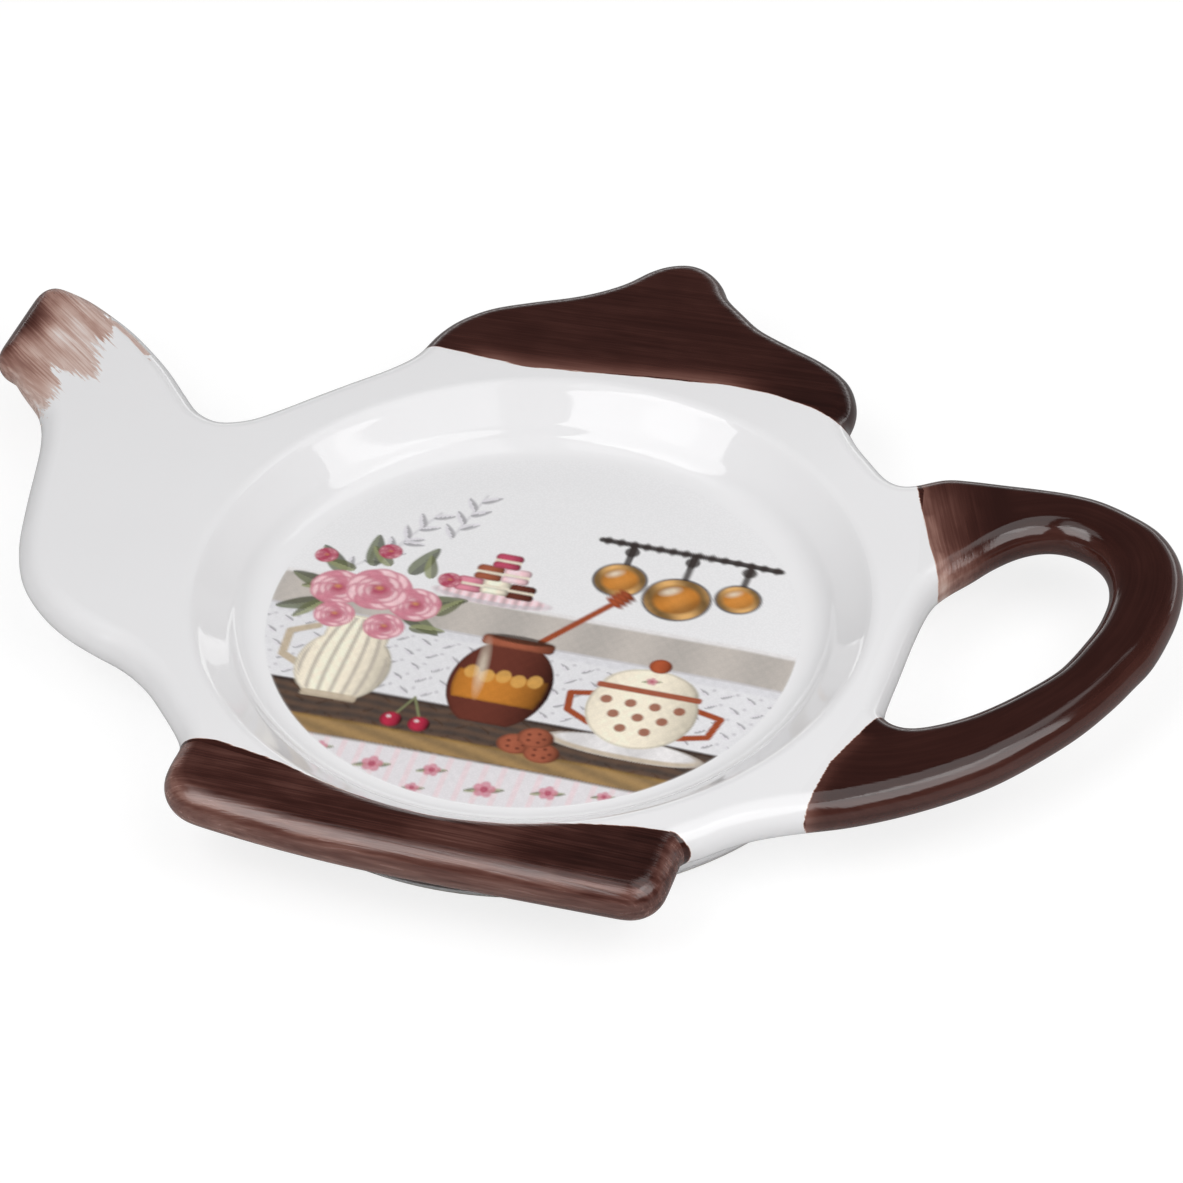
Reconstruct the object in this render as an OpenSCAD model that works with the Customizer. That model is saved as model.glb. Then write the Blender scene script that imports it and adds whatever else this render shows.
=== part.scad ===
// Tea bag rest: a glazed ceramic dish in the outline of a teapot, with a round well.
// Origin under the middle of the outline, on the plane it stands on. +Z up, handle at +X.

/* [Overall] */
// Height from the table to the flat top
rest_h = 11; // [10:0.5:14]
// Thickness of the flat flange, whose free edges are half round
flange_t = 5; // [4:0.25:5.5]

/* [Well] */
// Radius of the well at the flat top, which the teapot outline follows
well_r = 35.2; // [30:0.2:40]
// Depth of the well
well_d = 4.8; // [3.5:0.1:5.5]
// Width of the sloping wall between the flat top and the flat floor
slope_w = 6.8; // [5:0.2:9]
// Radius of the rounding at the well's top edge
lip_r = 1.2; // [0.6:0.1:1.6]
// How far the bowl's outside stands out beyond the well, just under the flange
bowl_out = 2.4; // [1:0.2:4]

/* [Foot] */
// How far the foot ring stands in from the well's radius
foot_in = 0.3; // [0.2:0.1:4]
// Width of the foot ring
foot_w = 4.6; // [3:0.2:7]
// Height of the foot ring
foot_h = 2; // [1.5:0.25:3]
// Rounding of the foot ring's lower edges
foot_edge_r = 0.6; // [0.3:0.1:1]

/* [Rim] */
// Width of the rim between the well and the handle's opening
rim_w = 4.1; // [3.6:0.1:5]

/* [Spout] */
// Reach of the spout's mouth beyond the middle of its root
spout_l = 19.35; // [16:0.05:23]
// Width of the spout's mouth
mouth_w = 14.6; // [12:0.2:16]

/* [Lid] */
// Height of the lid's outline over its seam, to the top of the knob
lid_h = 22.2; // [18:0.2:26]
// Width of the knob at the top of the lid
knob_w = 11.8; // [9:0.2:13]
// Rise and fall of the wavy line where the lid meets the rim
lid_wave = 1.3; // [0:0.1:2]

/* [Handle] */
// Reach of the handle beyond the rim
handle_reach = 25.4; // [21:0.2:30]
// Width of the handle's bar
bar_w = 7.3; // [6:0.1:8.5]

/* [Plinth] */
// Length of the plinth
plinth_l = 53.6; // [46:0.2:60]
// Depth of the plinth, from its front to its upper corners
plinth_d = 9.9; // [8.5:0.1:12]
// Radius of the plinth's left front corner
left_corner_r = 5; // [3.5:0.25:5.25]
// Radius of the plinth's right front corner
right_corner_r = 3.75; // [3.5:0.25:6]
// Length over which the plinth's front sweeps back to its left corner
sweep_l = 24; // [16:0.5:28]
// Depth of that sweep
sweep_d = 2; // [0:0.1:2.2]

/* [Print] */
// Bare margin of the floor round the printed disc
print_margin = 0.5; // [0.2:0.1:4]
// Thickness of the printed disc
print_t = 0.2; // [0.15:0.05:0.4]

/* [Hidden] */

// Colours
white = [0.93, 0.92, 0.91];
brown = [0.22, 0.12, 0.09];
picture = [0.86, 0.80, 0.77];

// Fineness of the round stretches
$fn = 96;
nose_steps = 8;
curve_parts = 2;
arc_steps = 6;

// The outline is drawn from the well's middle, in even shares of the well's radius
well_shares = 35.2;
share = well_r / well_shares;
function at(p) = p * share;

// Heights
under_z = rest_h - flange_t;
mid_z = rest_h - flange_t / 2;
floor_z = rest_h - well_d;
edge_r = flange_t / 2;

// The rim, plinth and well meet on the well's cylinder: flat facets keep just outside it
wall_step = 5;
wall_r = well_r / cos(wall_step / 2);
hole_x = well_r + rim_w;
function on_wall(a) = [wall_r * cos(a), wall_r * sin(a)];

// Ends of the plinth's straight seams on the well's wall, as angles
seam_right_a = -70;
seam_left_a = 250;

function unit(v) = v / norm(v);
function flat(lists) = [for (l = lists) for (p = l) p];

// A smooth curve through rows of numbers
function row_at(rows, i) = rows[max(0, min(len(rows) - 1, i))];
function bezier(a, b, c, d, t) =
    a * (1 - t) ^ 3 + b * 3 * t * (1 - t) ^ 2 + c * 3 * t ^ 2 * (1 - t) + d * t ^ 3;
function curve_point(rows, i, t) =
    let (
        p = row_at(rows, i),
        q = row_at(rows, i + 1),
        out_of_p = (q - row_at(rows, i - 1)) / 6,
        into_q = (row_at(rows, i + 2) - p) / 6
    )
    bezier(p, p + out_of_p, q - into_q, q, t);
function smooth(rows) = concat(
    [for (i = [0:len(rows) - 2]) for (k = [0:curve_parts - 1]) curve_point(rows, i, k / curve_parts)],
    [rows[len(rows) - 1]]
);

// Outward direction of an edge whose solid lies on the left of its travel
function normal_right(path, i) =
    let (t = unit(row_at(path, i + 1) - row_at(path, i - 1)))
    [t.y, -t.x];
// Nose vectors of a free edge: from the middle of its half round to its outermost point.
// At each end the vector lies along the seam there.
function slanted(d, n) = d * edge_r / (d * n);
function nose(path, side, first_dir, last_dir) = [
    for (i = [0:len(path) - 1])
        let (n = normal_right(path, i) * side)
        i == 0 ? slanted(first_dir, n)
        : i == len(path) - 1 ? slanted(last_dir, n)
        : n * edge_r
];
function no_nose(path) = [for (p = path) [0, 0]];
// As nose, but the last vector lies along the given direction
function nose_to(path, side, first_dir, last) =
    let (v = nose(path, side, first_dir, last))
    [for (i = [0:len(v) - 1]) i == len(v) - 1 ? last * edge_r : v[i]];

// One side of a slab's cross-section, from the underside to the top: half round or upright
function slab_side(p, v, steps) = [
    for (k = [0:steps])
        let (a = -90 + 180 * k / steps)
        [p.x - v.x + v.x * cos(a), p.y - v.y + v.y * cos(a), mid_z + edge_r * sin(a)]
];
function backwards(list) = [for (i = [len(list) - 1:-1:0]) list[i]];

// Two triangles between four neighbouring points, cut along the shorter diagonal
function halves(points, a, b, c, d) =
    norm(points[b] - points[c]) < norm(points[a] - points[d])
    ? [[a, c, b], [b, c, d]]
    : [[a, c, d], [a, d, b]];

// A slab laid between a left and a right path, as cross-sections joined by triangles
module slab(rings) {
    points = flat(rings);
    n = len(rings[0]);
    last = len(rings) - 1;
    polyhedron(
        points = points,
        faces = concat(
            [[for (k = [0:n - 1]) k]],
            [[for (k = [n - 1:-1:0]) last * n + k]],
            [for (s = [0:last - 1]) for (k = [0:n - 1])
                let (i = s * n, j = i + n, next = (k + 1) % n)
                for (face = halves(points, i + k, i + next, j + k, j + next)) face]
        )
    );
}
function slab_rings(left, left_nose, left_steps, right, right_nose) = [
    for (i = [0:len(left) - 1])
        concat(
            slab_side(left[i], left_nose[i], left_steps),
            backwards(slab_side(right[i], right_nose[i], nose_steps))
        )
];
module place() {
    translate([well_x, well_y, 0]) children();
}

// Where the pieces meet at the outline
lid_end_shares = [[24, 36.9], [-24, 37.3]];
lid_right = at(lid_end_shares[0]);
lid_left = at(lid_end_shares[1]);
handle_out_shares = [[33.6, 29.2], [36, -24.3]];
handle_top_out = at(handle_out_shares[0]);
handle_low_out = at(handle_out_shares[1]);
handle_in_shares = [[0.6, 13.2], [0.3, -7.4]];
handle_top_in = [hole_x, 0] + at(handle_in_shares[0]);
handle_low_in = [hole_x, 0] + at(handle_in_shares[1]);
spout_end_shares = [[-41, 19.7], [-56.9, 3.8]];
spout_top = at(spout_end_shares[0]);
spout_low = at(spout_end_shares[1]);

// Reach of the outline each way from the well's middle, and the well's place under it
spout_mid = (spout_top + spout_low) / 2;
left_x = spout_mid.x - spout_l;
right_x = hole_x + handle_reach;
lid_mean_share = 37.3;
lid_y = lid_mean_share * share;
back_y = lid_y + lid_h;
plinth_top_share = -31.6;
plinth_top = plinth_top_share * share;
plinth_front = plinth_top - plinth_d;
well_x = -(left_x + right_x) / 2;
well_y = -(plinth_front + back_y) / 2;

// Plinth: box with round front corners, and the seam that it shares with the rim
plinth_mid_share = -1.3;
plinth_mid_x = plinth_mid_share * share;
plinth_left = plinth_mid_x - plinth_l / 2;
plinth_right = plinth_mid_x + plinth_l / 2;
plinth_end_shares = [[0.2, 0.4], [-0.1, -0.4]];
plinth_left_end = [plinth_left, plinth_top] + at(plinth_end_shares[0]);
plinth_right_end = [plinth_right, plinth_top] + at(plinth_end_shares[1]);
seam_right = on_wall(seam_right_a);
seam_left = on_wall(seam_left_a);
plinth_left_dir = unit(plinth_left_end - seam_left);
plinth_right_dir = unit(plinth_right_end - seam_right);

// Lid: seam from the right tip to the left one, and the outline over the knob.
// Heights of its outline are shares of the lid's height.
lid_half_shares = 20.4;
lid_outline_shares = [
    [24.2, 0.06], [23.9, 0.17], [22.3, 0.31], [19, 0.42], [15, 0.5], [11, 0.586], [8.6, 0.676]
];
lid_left_shares = [
    [-8.2, 0.68], [-11, 0.595], [-15, 0.505], [-19, 0.4], [-21.8, 0.266], [-23.3, 0.13]
];
function lid_at(p) = [p.x * share, lid_y + p.y * lid_h];
knob_x_share = 0.4;
knob_shares = [
    [0.46, 0.793], [0.36, 0.887], [0.2, 0.968], [0, 1], [-0.22, 0.964], [-0.39, 0.887], [-0.54, 0.775]
];
lid_outline = concat(
    [lid_right],
    [for (p = lid_outline_shares) lid_at(p)],
    [for (p = knob_shares) [knob_x_share * share + p.x * knob_w, lid_y + p.y * lid_h]],
    [for (p = lid_left_shares) lid_at(p)],
    [lid_left]
);
lid_path = smooth(lid_outline);
lid_phase_share = 3;
lid_quarter_share = 13;
lid_seam = [
    for (i = [0:len(lid_path) - 1])
        let (x = lid_half_shares * (1 - 2 * i / (len(lid_path) - 1)))
        [x * share, lid_y + lid_wave * sin(90 * (x + lid_phase_share) / lid_quarter_share)]
];
lid_right_dir = unit(lid_right - lid_seam[0]);
lid_left_dir = unit(lid_left - lid_seam[len(lid_seam) - 1]);

// Rim: runs of rows that hold an angle on the well's wall and a point of the outline
handle_low_dir = unit(handle_low_out - handle_low_in);
handle_top_dir = unit(handle_top_out - handle_top_in);
spout_dir = unit(spout_top - spout_low);
low_seam_angles = [-38, -14];
top_seam_angles = [19, 35];
spout_seam_angles = [155, 176];
function row(a, p) = [a, p.x, p.y];
function rows_at(list) = [for (r = list) row(r[0], at([r[1], r[2]]))];
right_belly_shares = [[-62, 27.4, -30.5], [-54, 29.2, -28.6], [-46, 32.2, -26.3]];
right_belly = concat(
    [row(seam_right_a, plinth_right_end)],
    rows_at(right_belly_shares),
    [row(low_seam_angles[0], handle_low_out)]
);
opening_shares = [[-10, 0, -5], [-2, 0, 0], [8, 0, 6], [15, 0.2, 10.5]];
opening_side = concat(
    [row(low_seam_angles[1], handle_low_in)],
    [for (r = opening_shares) row(r[0], [hole_x, 0] + at([r[1], r[2]]))],
    [row(top_seam_angles[0], handle_top_in)]
);
right_shoulder_shares = [[40, 32.2, 28.6], [47, 30.4, 29.4], [51, 28, 31.8], [55, 25.8, 34.2]];
right_shoulder = concat(
    [row(top_seam_angles[1], handle_top_out)],
    rows_at(right_shoulder_shares),
    [row(58, lid_right)]
);
left_shoulder_shares = [
    [127, -24.8, 35.4], [131, -26.8, 32.8], [136, -29.5, 30], [141, -32.5, 26.8],
    [146, -35.5, 23.5], [150, -38.2, 20.9]
];
left_shoulder = concat(
    [row(124, lid_left)],
    rows_at(left_shoulder_shares),
    [row(spout_seam_angles[0], spout_top)]
);
left_belly_shares = [
    [181, -56.1, 0], [186, -55, -4.5], [192, -53, -9.2], [197, -50, -12.8],
    [202, -46.5, -15.5], [207, -42.5, -17.5], [212, -38.5, -19.2], [217, -35, -21.7],
    [223, -32, -24.9], [230, -29.4, -28], [240, -28.3, -29.8]
];
left_belly = concat(
    [row(spout_seam_angles[1], spout_low)],
    rows_at(left_belly_shares),
    [row(seam_left_a, plinth_left_end)]
);
function path_of(rows) = [for (r = rows) [r[1], r[2]]];
function wall_of(rows) = [for (r = rows) on_wall(r[0])];

// A stretch of the rim whose outer edge is free
function free_run(rows, first_dir, last_dir) =
    let (fine = smooth(rows), path = path_of(fine))
    slab_rings(wall_of(fine), no_nose(path), 1, path, nose(path, 1, first_dir, last_dir));
// A stretch of the rim that ends at an upright seam between two points. Its cross-sections
// stand between the middles of the half rounds at the seam's ends.
seam_parts = 5;
function first_reach(rows, dir) = norm(slanted(dir, normal_right(path_of(smooth(rows)), 0)));
function last_reach(rows, dir) =
    let (path = path_of(smooth(rows)))
    norm(slanted(dir, normal_right(path, len(path) - 1)));
function seam_run(p, q, p_reach, q_reach, angles) =
    let (
        first = p_reach / norm(q - p),
        last = 1 - q_reach / norm(q - p),
        shares = [for (k = [1:seam_parts - 1]) first + (last - first) * k / seam_parts],
        path = [for (t = shares) p + (q - p) * t],
        wall = [for (t = shares) on_wall(angles[0] + (angles[1] - angles[0]) * t)]
    )
    slab_rings(wall, no_nose(path), 1, path, no_nose(path));
lid_seam_first_a = 61;
lid_seam_last_a = 121;
function lid_run() =
    let (
        n = len(lid_seam) - 1,
        wall = [for (i = [0:n]) on_wall(lid_seam_first_a + (lid_seam_last_a - lid_seam_first_a) * i / n)]
    )
    slab_rings(wall, no_nose(wall), 1, lid_seam, no_nose(wall));

// Spout: pairs of points on its lower and upper side, from the root to the mouth,
// in shares of its reach from the middle of its root
spout_shares = [
    [-0.45, -0.205, 0.28, 0.47], [-0.49, -0.02, 0.153, 0.605], [-0.545, 0.15, 0, 0.78],
    [-0.62, 0.29, -0.158, 0.93], [-0.705, 0.385, -0.313, 1.06], [-0.778, 0.46, -0.468, 1.163],
    [-0.83, 0.52, -0.65, 1.266]
];
mouth_mid_share = 0.951;
mouth_low = [left_x + edge_r, spout_mid.y + mouth_mid_share * spout_l - mouth_w / 2];
mouth_lean_share = 0.6;
mouth_top = mouth_low + [mouth_lean_share * share, mouth_w];
spout_rows = smooth(concat(
    [[spout_low.x, spout_low.y, spout_top.x, spout_top.y]],
    [for (r = spout_shares) [spout_mid.x, spout_mid.y, spout_mid.x, spout_mid.y] + r * spout_l],
    [[mouth_low.x, mouth_low.y, mouth_top.x, mouth_top.y]]
));
// The mouth is rounded off by rings that grow thinner
mouth_turn = 80;
function mouth_ring(k) =
    let (
        a = mouth_turn * k / arc_steps,
        reach = edge_r * sin(a) / sin(mouth_turn),
        low = mouth_low + [-reach, edge_r * (1 - cos(a))],
        top = mouth_top + [-reach, -edge_r * (1 - cos(a))]
    )
    [for (p = concat(
        slab_side(low, [0, -edge_r * cos(a)], nose_steps),
        backwards(slab_side(top, [0, edge_r * cos(a)], nose_steps))
    )) [p.x, p.y, mid_z + (p.z - mid_z) * cos(a)]];

// Handle: pairs of points on its outer and inner side, from the upper seam to the lower one.
// Each is a share of the reach beyond the rim, and a height as the outline's other points.
handle_shares = [
    [-0.12, 30.9, 0.05, 14.6], [0, 31.4, 0.083, 16], [0.145, 31.7, 0.138, 18], [0.283, 32, 0.2, 20.6],
    [0.421, 32.1, 0.287, 23.2], [0.551, 31.7, 0.39, 24.7], [0.689, 30.4, 0.5, 24.5],
    [0.823, 28.5, 0.602, 23], [0.925, 25.4, 0.669, 20.6], [0.98, 21.7, 0.705, 17.5],
    [1, 17.3, 0.709, 14.5], [0.992, 13, 0.697, 11.5], [0.969, 9, 0.673, 9], [0.931, 6.1, 0.646, 6.5],
    [0.878, 2.3, 0.606, 3.8], [0.79, -2.6, 0.531, 0.8], [0.671, -7.5, 0.433, -2.5],
    [0.534, -12.2, 0.331, -5.3], [0.378, -16.1, 0.224, -7.4], [0.203, -19.6, 0.13, -8.6],
    [0.028, -22.4, 0.063, -8.4]
];
bar_share = 7.3;
function handle_row(i) =
    let (
        r = handle_shares[i],
        outer = [hole_x + r[0] * handle_reach, r[1] * share],
        drawn = [hole_x + r[2] * handle_reach, r[3] * share],
        widen = (bar_w - bar_share * share) * sin(180 * (i + 1) / (len(handle_shares) + 1)),
        inner = drawn + unit(drawn - outer) * widen
    )
    [outer.x, outer.y, inner.x, inner.y];
handle_rows = smooth(concat(
    [[handle_top_out.x, handle_top_out.y, handle_top_in.x, handle_top_in.y]],
    [for (i = [0:len(handle_shares) - 1]) handle_row(i)],
    [[handle_low_out.x, handle_low_out.y, handle_low_in.x, handle_low_in.y]]
));

// Plinth: its outline and the seam that it shares with the rim, from the left end to the right
// one. Places along each straight seam are shares of it, counted from the plinth's end.
seam_end_shares = [0.21, 0.235, 0.265, 0.3, 0.34, 0.39, 0.45, 0.51, 0.58, 0.66];
end_shares = [0.35, 0.7];
front_steps = 10;
function corner(mid, r, from, to) = [
    for (k = [0:arc_steps])
        let (a = from + (to - from) * k / arc_steps)
        [mid.x + r * cos(a), mid.y + r * sin(a)]
];
// The front leaves the left corner at a slant and bends into its straight stretch
sweep_a = atan(2 * sweep_d / sweep_l);
left_corner_y = plinth_front + sweep_d + left_corner_r * cos(sweep_a);
right_corner_y = plinth_front + right_corner_r;
front_first_x = plinth_left + left_corner_r * (1 - sin(sweep_a));
front_last_x = plinth_right - right_corner_r;
function front_at(x) = [x, plinth_front + sweep_d * max(0, 1 - (x - front_first_x) / sweep_l) ^ 2];
plinth_outline = concat(
    [plinth_left_end],
    [for (t = end_shares) [plinth_left, plinth_top - t * (plinth_top - left_corner_y)]],
    corner([plinth_left + left_corner_r, left_corner_y], left_corner_r, 180, 270 - sweep_a),
    [for (k = [0:front_steps])
        let (t = (k + 1) / (front_steps + 2))
        front_at(front_first_x + (front_last_x - front_first_x) * t)],
    corner([front_last_x, right_corner_y], right_corner_r, 270, 360),
    [for (t = backwards(end_shares)) [plinth_right, plinth_top - t * (plinth_top - right_corner_y)]],
    [plinth_right_end]
);
plinth_seam = concat(
    [for (t = seam_end_shares) plinth_left_end + (seam_left - plinth_left_end) * t],
    [for (k = [0:front_steps]) on_wall(seam_left_a + (360 + seam_right_a - seam_left_a) * k / front_steps)],
    [for (t = backwards(seam_end_shares)) plinth_right_end + (seam_right - plinth_right_end) * t]
);

// Shape of the well's wall and of the bowl
lip_turn = 52;
slope_shares = [0.45, 0.34];
floor_pull_share = 0.25;
floor_r = well_r - slope_w;
bowl_r = well_r + bowl_out;
foot_r = well_r - foot_in;
bowl_foot_share = 0.2;
bowl_foot_r = foot_r + bowl_foot_share * foot_w;

// Round dish: floor, sloping wall and rounded lip, with the bowl's outside below the flange
module well() {
    lip_mid = [well_r, rest_h - lip_r];
    slope_foot = [floor_r + slope_w * slope_shares.x, floor_z + well_d * slope_shares.y];
    floor_pull = [floor_r + slope_w * floor_pull_share, floor_z];
    color(white)
    place()
    rotate_extrude()
    polygon(concat(
        [[0, foot_h], [bowl_foot_r, foot_h]],
        [for (k = [1:arc_steps]) let (a = 90 * k / arc_steps)
            [bowl_r - (bowl_r - bowl_foot_r) * (1 - sin(a)),
             foot_h + (under_z - foot_h) * (1 - cos(a))]],
        [[well_r, under_z], [well_r, rest_h]],
        [for (k = [1:arc_steps]) let (a = 90 + lip_turn * k / arc_steps)
            [lip_mid.x + lip_r * cos(a), lip_mid.y + lip_r * sin(a)]],
        [for (k = [0:arc_steps])
            let (t = k / arc_steps)
            slope_foot * (1 - t) ^ 2
                + floor_pull * 2 * t * (1 - t)
                + [floor_r, floor_z] * t ^ 2],
        [[0, floor_z]]
    ));
}

// Ring that the dish stands on
module foot_ring() {
    inner_r = foot_r - foot_w;
    color(white)
    place()
    rotate_extrude()
    polygon(concat(
        [[inner_r, foot_h]],
        [for (k = [0:arc_steps]) let (a = 180 + 90 * k / arc_steps)
            [inner_r + foot_edge_r * (1 + cos(a)), foot_edge_r * (1 + sin(a))]],
        [for (k = [0:arc_steps]) let (a = 270 + 90 * k / arc_steps)
            [foot_r + foot_edge_r * (cos(a) - 1), foot_edge_r * (1 + sin(a))]],
        [[foot_r, foot_h]]
    ));
}

// White flange round the well, open at the plinth
module rim() {
    color(white)
    place()
    slab(concat(
        free_run(right_belly, plinth_right_dir, handle_low_dir),
        seam_run(
            handle_low_out, handle_low_in,
            last_reach(right_belly, handle_low_dir), first_reach(opening_side, handle_low_dir),
            low_seam_angles
        ),
        free_run(opening_side, -handle_low_dir, -handle_top_dir),
        seam_run(
            handle_top_in, handle_top_out,
            last_reach(opening_side, handle_top_dir), first_reach(right_shoulder, handle_top_dir),
            top_seam_angles
        ),
        free_run(right_shoulder, handle_top_dir, lid_right_dir),
        lid_run(),
        free_run(left_shoulder, lid_left_dir, spout_dir),
        seam_run(
            spout_top, spout_low,
            last_reach(left_shoulder, spout_dir), first_reach(left_belly, spout_dir),
            spout_seam_angles
        ),
        free_run(left_belly, -spout_dir, plinth_left_dir)
    ));
}

// Curved spout with a rounded mouth
module spout() {
    low = [for (r = spout_rows) [r[0], r[1]]];
    top = [for (r = spout_rows) [r[2], r[3]]];
    color(white)
    place()
    slab(concat(
        slab_rings(
            low, nose_to(low, -1, -spout_dir, [0, -1]), nose_steps,
            top, nose_to(top, 1, spout_dir, [0, 1])
        ),
        [for (k = [1:arc_steps]) mouth_ring(k)]
    ));
}

// Brown lid with its knob
module lid() {
    color(brown)
    place()
    slab(slab_rings(
        lid_seam, no_nose(lid_seam), 1,
        lid_path, nose(lid_path, 1, lid_right_dir, lid_left_dir)
    ));
}

// Brown loop handle
module handle() {
    outer = [for (r = handle_rows) [r[0], r[1]]];
    inner = [for (r = handle_rows) [r[2], r[3]]];
    color(brown)
    place()
    slab(slab_rings(
        outer, nose(outer, -1, handle_top_dir, handle_low_dir), nose_steps,
        inner, nose(inner, 1, -handle_top_dir, -handle_low_dir)
    ));
}

// Brown plinth under the well
module plinth() {
    color(brown)
    place()
    slab(slab_rings(
        plinth_seam, no_nose(plinth_seam), 1,
        plinth_outline, nose(plinth_outline, 1, plinth_left_dir, plinth_right_dir)
    ));
}

// Printed disc on the well's floor
module print() {
    color(picture)
    place()
    translate([0, 0, floor_z]) cylinder(r = floor_r - print_margin, h = print_t);
}

well();
foot_ring();
rim();
spout();
lid();
handle();
plinth();
print();
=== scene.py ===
"""Tea bag rest: a glazed ceramic dish in the outline of a teapot, dressed for a studio picture."""

import math

import bpy
import numpy as np
from bpy.props import FloatProperty, FloatVectorProperty, PointerProperty
from mathutils import Matrix, Vector
from mathutils.geometry import delaunay_2d_cdt


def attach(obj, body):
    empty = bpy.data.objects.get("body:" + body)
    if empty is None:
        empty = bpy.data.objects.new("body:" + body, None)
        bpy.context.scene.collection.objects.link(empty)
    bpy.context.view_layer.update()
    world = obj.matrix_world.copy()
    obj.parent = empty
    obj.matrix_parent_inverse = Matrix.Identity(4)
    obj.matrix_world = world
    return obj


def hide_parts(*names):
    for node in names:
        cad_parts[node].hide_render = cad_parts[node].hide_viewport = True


bl_info = {
    "name": "Tea bag rest",
    "version": (1, 0, 0),
    "blender": (4, 5, 0),
    "location": "3D View > Sidebar > Rest",
    "description": "Builds a glazed tea bag rest in the outline of a teapot, and its studio",
    "category": "Object",
}

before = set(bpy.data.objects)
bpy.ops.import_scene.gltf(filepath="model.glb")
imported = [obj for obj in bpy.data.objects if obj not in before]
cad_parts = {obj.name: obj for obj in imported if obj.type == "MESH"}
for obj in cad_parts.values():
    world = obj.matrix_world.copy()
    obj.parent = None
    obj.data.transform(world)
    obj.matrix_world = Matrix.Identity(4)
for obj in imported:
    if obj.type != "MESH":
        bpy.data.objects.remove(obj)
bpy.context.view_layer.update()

MM = 0.001


def length(name, text, value):
    """A size in metres, from its value in millimetres."""
    return FloatProperty(name=name, description=text, default=value * MM, min=0.0, unit="LENGTH",
                         precision=5)


def colour(name, text, value):
    """A colour, from its red, green and blue."""
    return FloatVectorProperty(name=name, description=text, default=value, size=3, min=0.0, max=1.0,
                               subtype="COLOR")


class RestSizes(bpy.types.PropertyGroup):
    """Sizes of the rest, as the solids have them."""

    height: length("Height", "From the table to the flat top", 11.0)
    flange: length("Flange", "Thickness of the flat flange", 5.0)
    well_radius: length("Well radius", "Radius of the well at the flat top", 35.2)
    well_depth: length("Well depth", "From the flat top to the well's floor", 4.8)
    slope: length("Slope", "Width of the well's sloping wall", 6.8)
    lip: length("Lip", "Radius of the well's rounded top edge", 2.4)
    lip_reach: length("Lip reach", "How far the lip's rounding starts outside the well", 1.1)
    bowl_out: length("Bowl", "How far the bowl stands out beyond the well", 2.4)
    foot_in: length("Foot inset", "How far the foot ring stands in from the well's radius", 0.3)
    foot_width: length("Foot width", "Width of the foot ring", 4.6)
    foot_height: length("Foot height", "Height of the foot ring", 2.0)
    foot_edge: length("Foot edge", "Rounding of the foot ring's lower edges", 0.6)
    rim_width: length("Rim width", "Width of the rim beside the handle's opening", 4.1)
    spout_reach: length("Spout reach", "Reach of the mouth beyond the middle of the spout's root", 19.35)
    mouth_width: length("Mouth width", "Width of the spout's mouth", 14.6)
    lid_height: length("Lid height", "From the lid's seam to the top of its knob", 22.2)
    knob_width: length("Knob width", "Width of the lid's knob", 11.8)
    lid_wave: length("Lid wave", "Rise and fall of the line where the lid meets the rim", 1.3)
    handle_reach: length("Handle reach", "Reach of the handle beyond the rim", 25.4)
    plinth_length: length("Plinth length", "Length of the plinth", 53.6)
    plinth_depth: length("Plinth depth", "From the plinth's front to its upper corners", 9.9)
    left_corner: length("Left corner", "Radius of the plinth's left front corner", 5.0)
    right_corner: length("Right corner", "Radius of the plinth's right front corner", 3.75)
    sweep_length: length("Sweep length", "How far the plinth's front sweeps back to its left corner", 24.0)
    sweep_depth: length("Sweep depth", "Depth of that sweep", 2.0)
    print_margin: length("Print margin", "Bare margin of the floor round the print", 0.5)
    print_height: length("Print thickness", "Thickness of the printed disc", 0.2)


class RestColours(bpy.types.PropertyGroup):
    """Colours of the glazes and the clay."""

    white: colour("White glaze", "Clear glaze over white clay", (0.85, 0.845, 0.855))
    speck: colour("Specks", "Dark specks in the glaze", (0.12, 0.09, 0.08))
    clay: colour("Clay", "Bare fired clay of the foot", (0.70, 0.66, 0.58))
    fade: FloatVectorProperty(name="Brown fade", default=(1.0, 1.42, 1.53), size=3,
                              description="How fast the brown glaze takes away red, green and blue")
    thin_fade: FloatVectorProperty(name="Thin brown fade", default=(0.0, 0.8, 1.3), size=3,
                                   description="What a thin coat takes away besides, per channel")


class StudioSettings(bpy.types.PropertyGroup):
    """Camera and lamps."""

    lens: FloatProperty(name="Lens", description="Focal length", default=213.0, unit="CAMERA")
    distance: length("Distance", "From the camera to the middle of the well", 724.5)
    shift: length("Shift", "How far the camera looks past the well to the right", 6.203)
    lift: length("Lift", "How far the camera looks past the well upwards", 0.055)
    rise: FloatProperty(name="Rise", description="Camera's height over the table as an angle",
                        default=math.radians(40.14), subtype="ANGLE")
    turn: FloatProperty(name="Turn", description="Camera's turn to the handle's side",
                        default=math.radians(17.5), subtype="ANGLE")
    roll: FloatProperty(name="Roll", description="Turn of the camera about its axis",
                        default=math.radians(1.37), subtype="ANGLE")
    lamps: FloatProperty(name="Lamps", description="Brightness of all lamps together", default=0.98)
    ambient: FloatProperty(name="Ambient", description="Brightness of the surroundings", default=0.08)
    paper_light: FloatProperty(name="Paper light", description="Own brightness of the floor where it shows",
                               default=0.80)


# Outline

# Gaps between points of the outline and of a seam, in millimetres
STEP, SEAM_STEP = 0.3, 0.5
# Width of the bell that softens the outline, in millimetres, and how many widths it reaches
SOFTEN, SOFTEN_REACH = 0.7, 4
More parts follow.
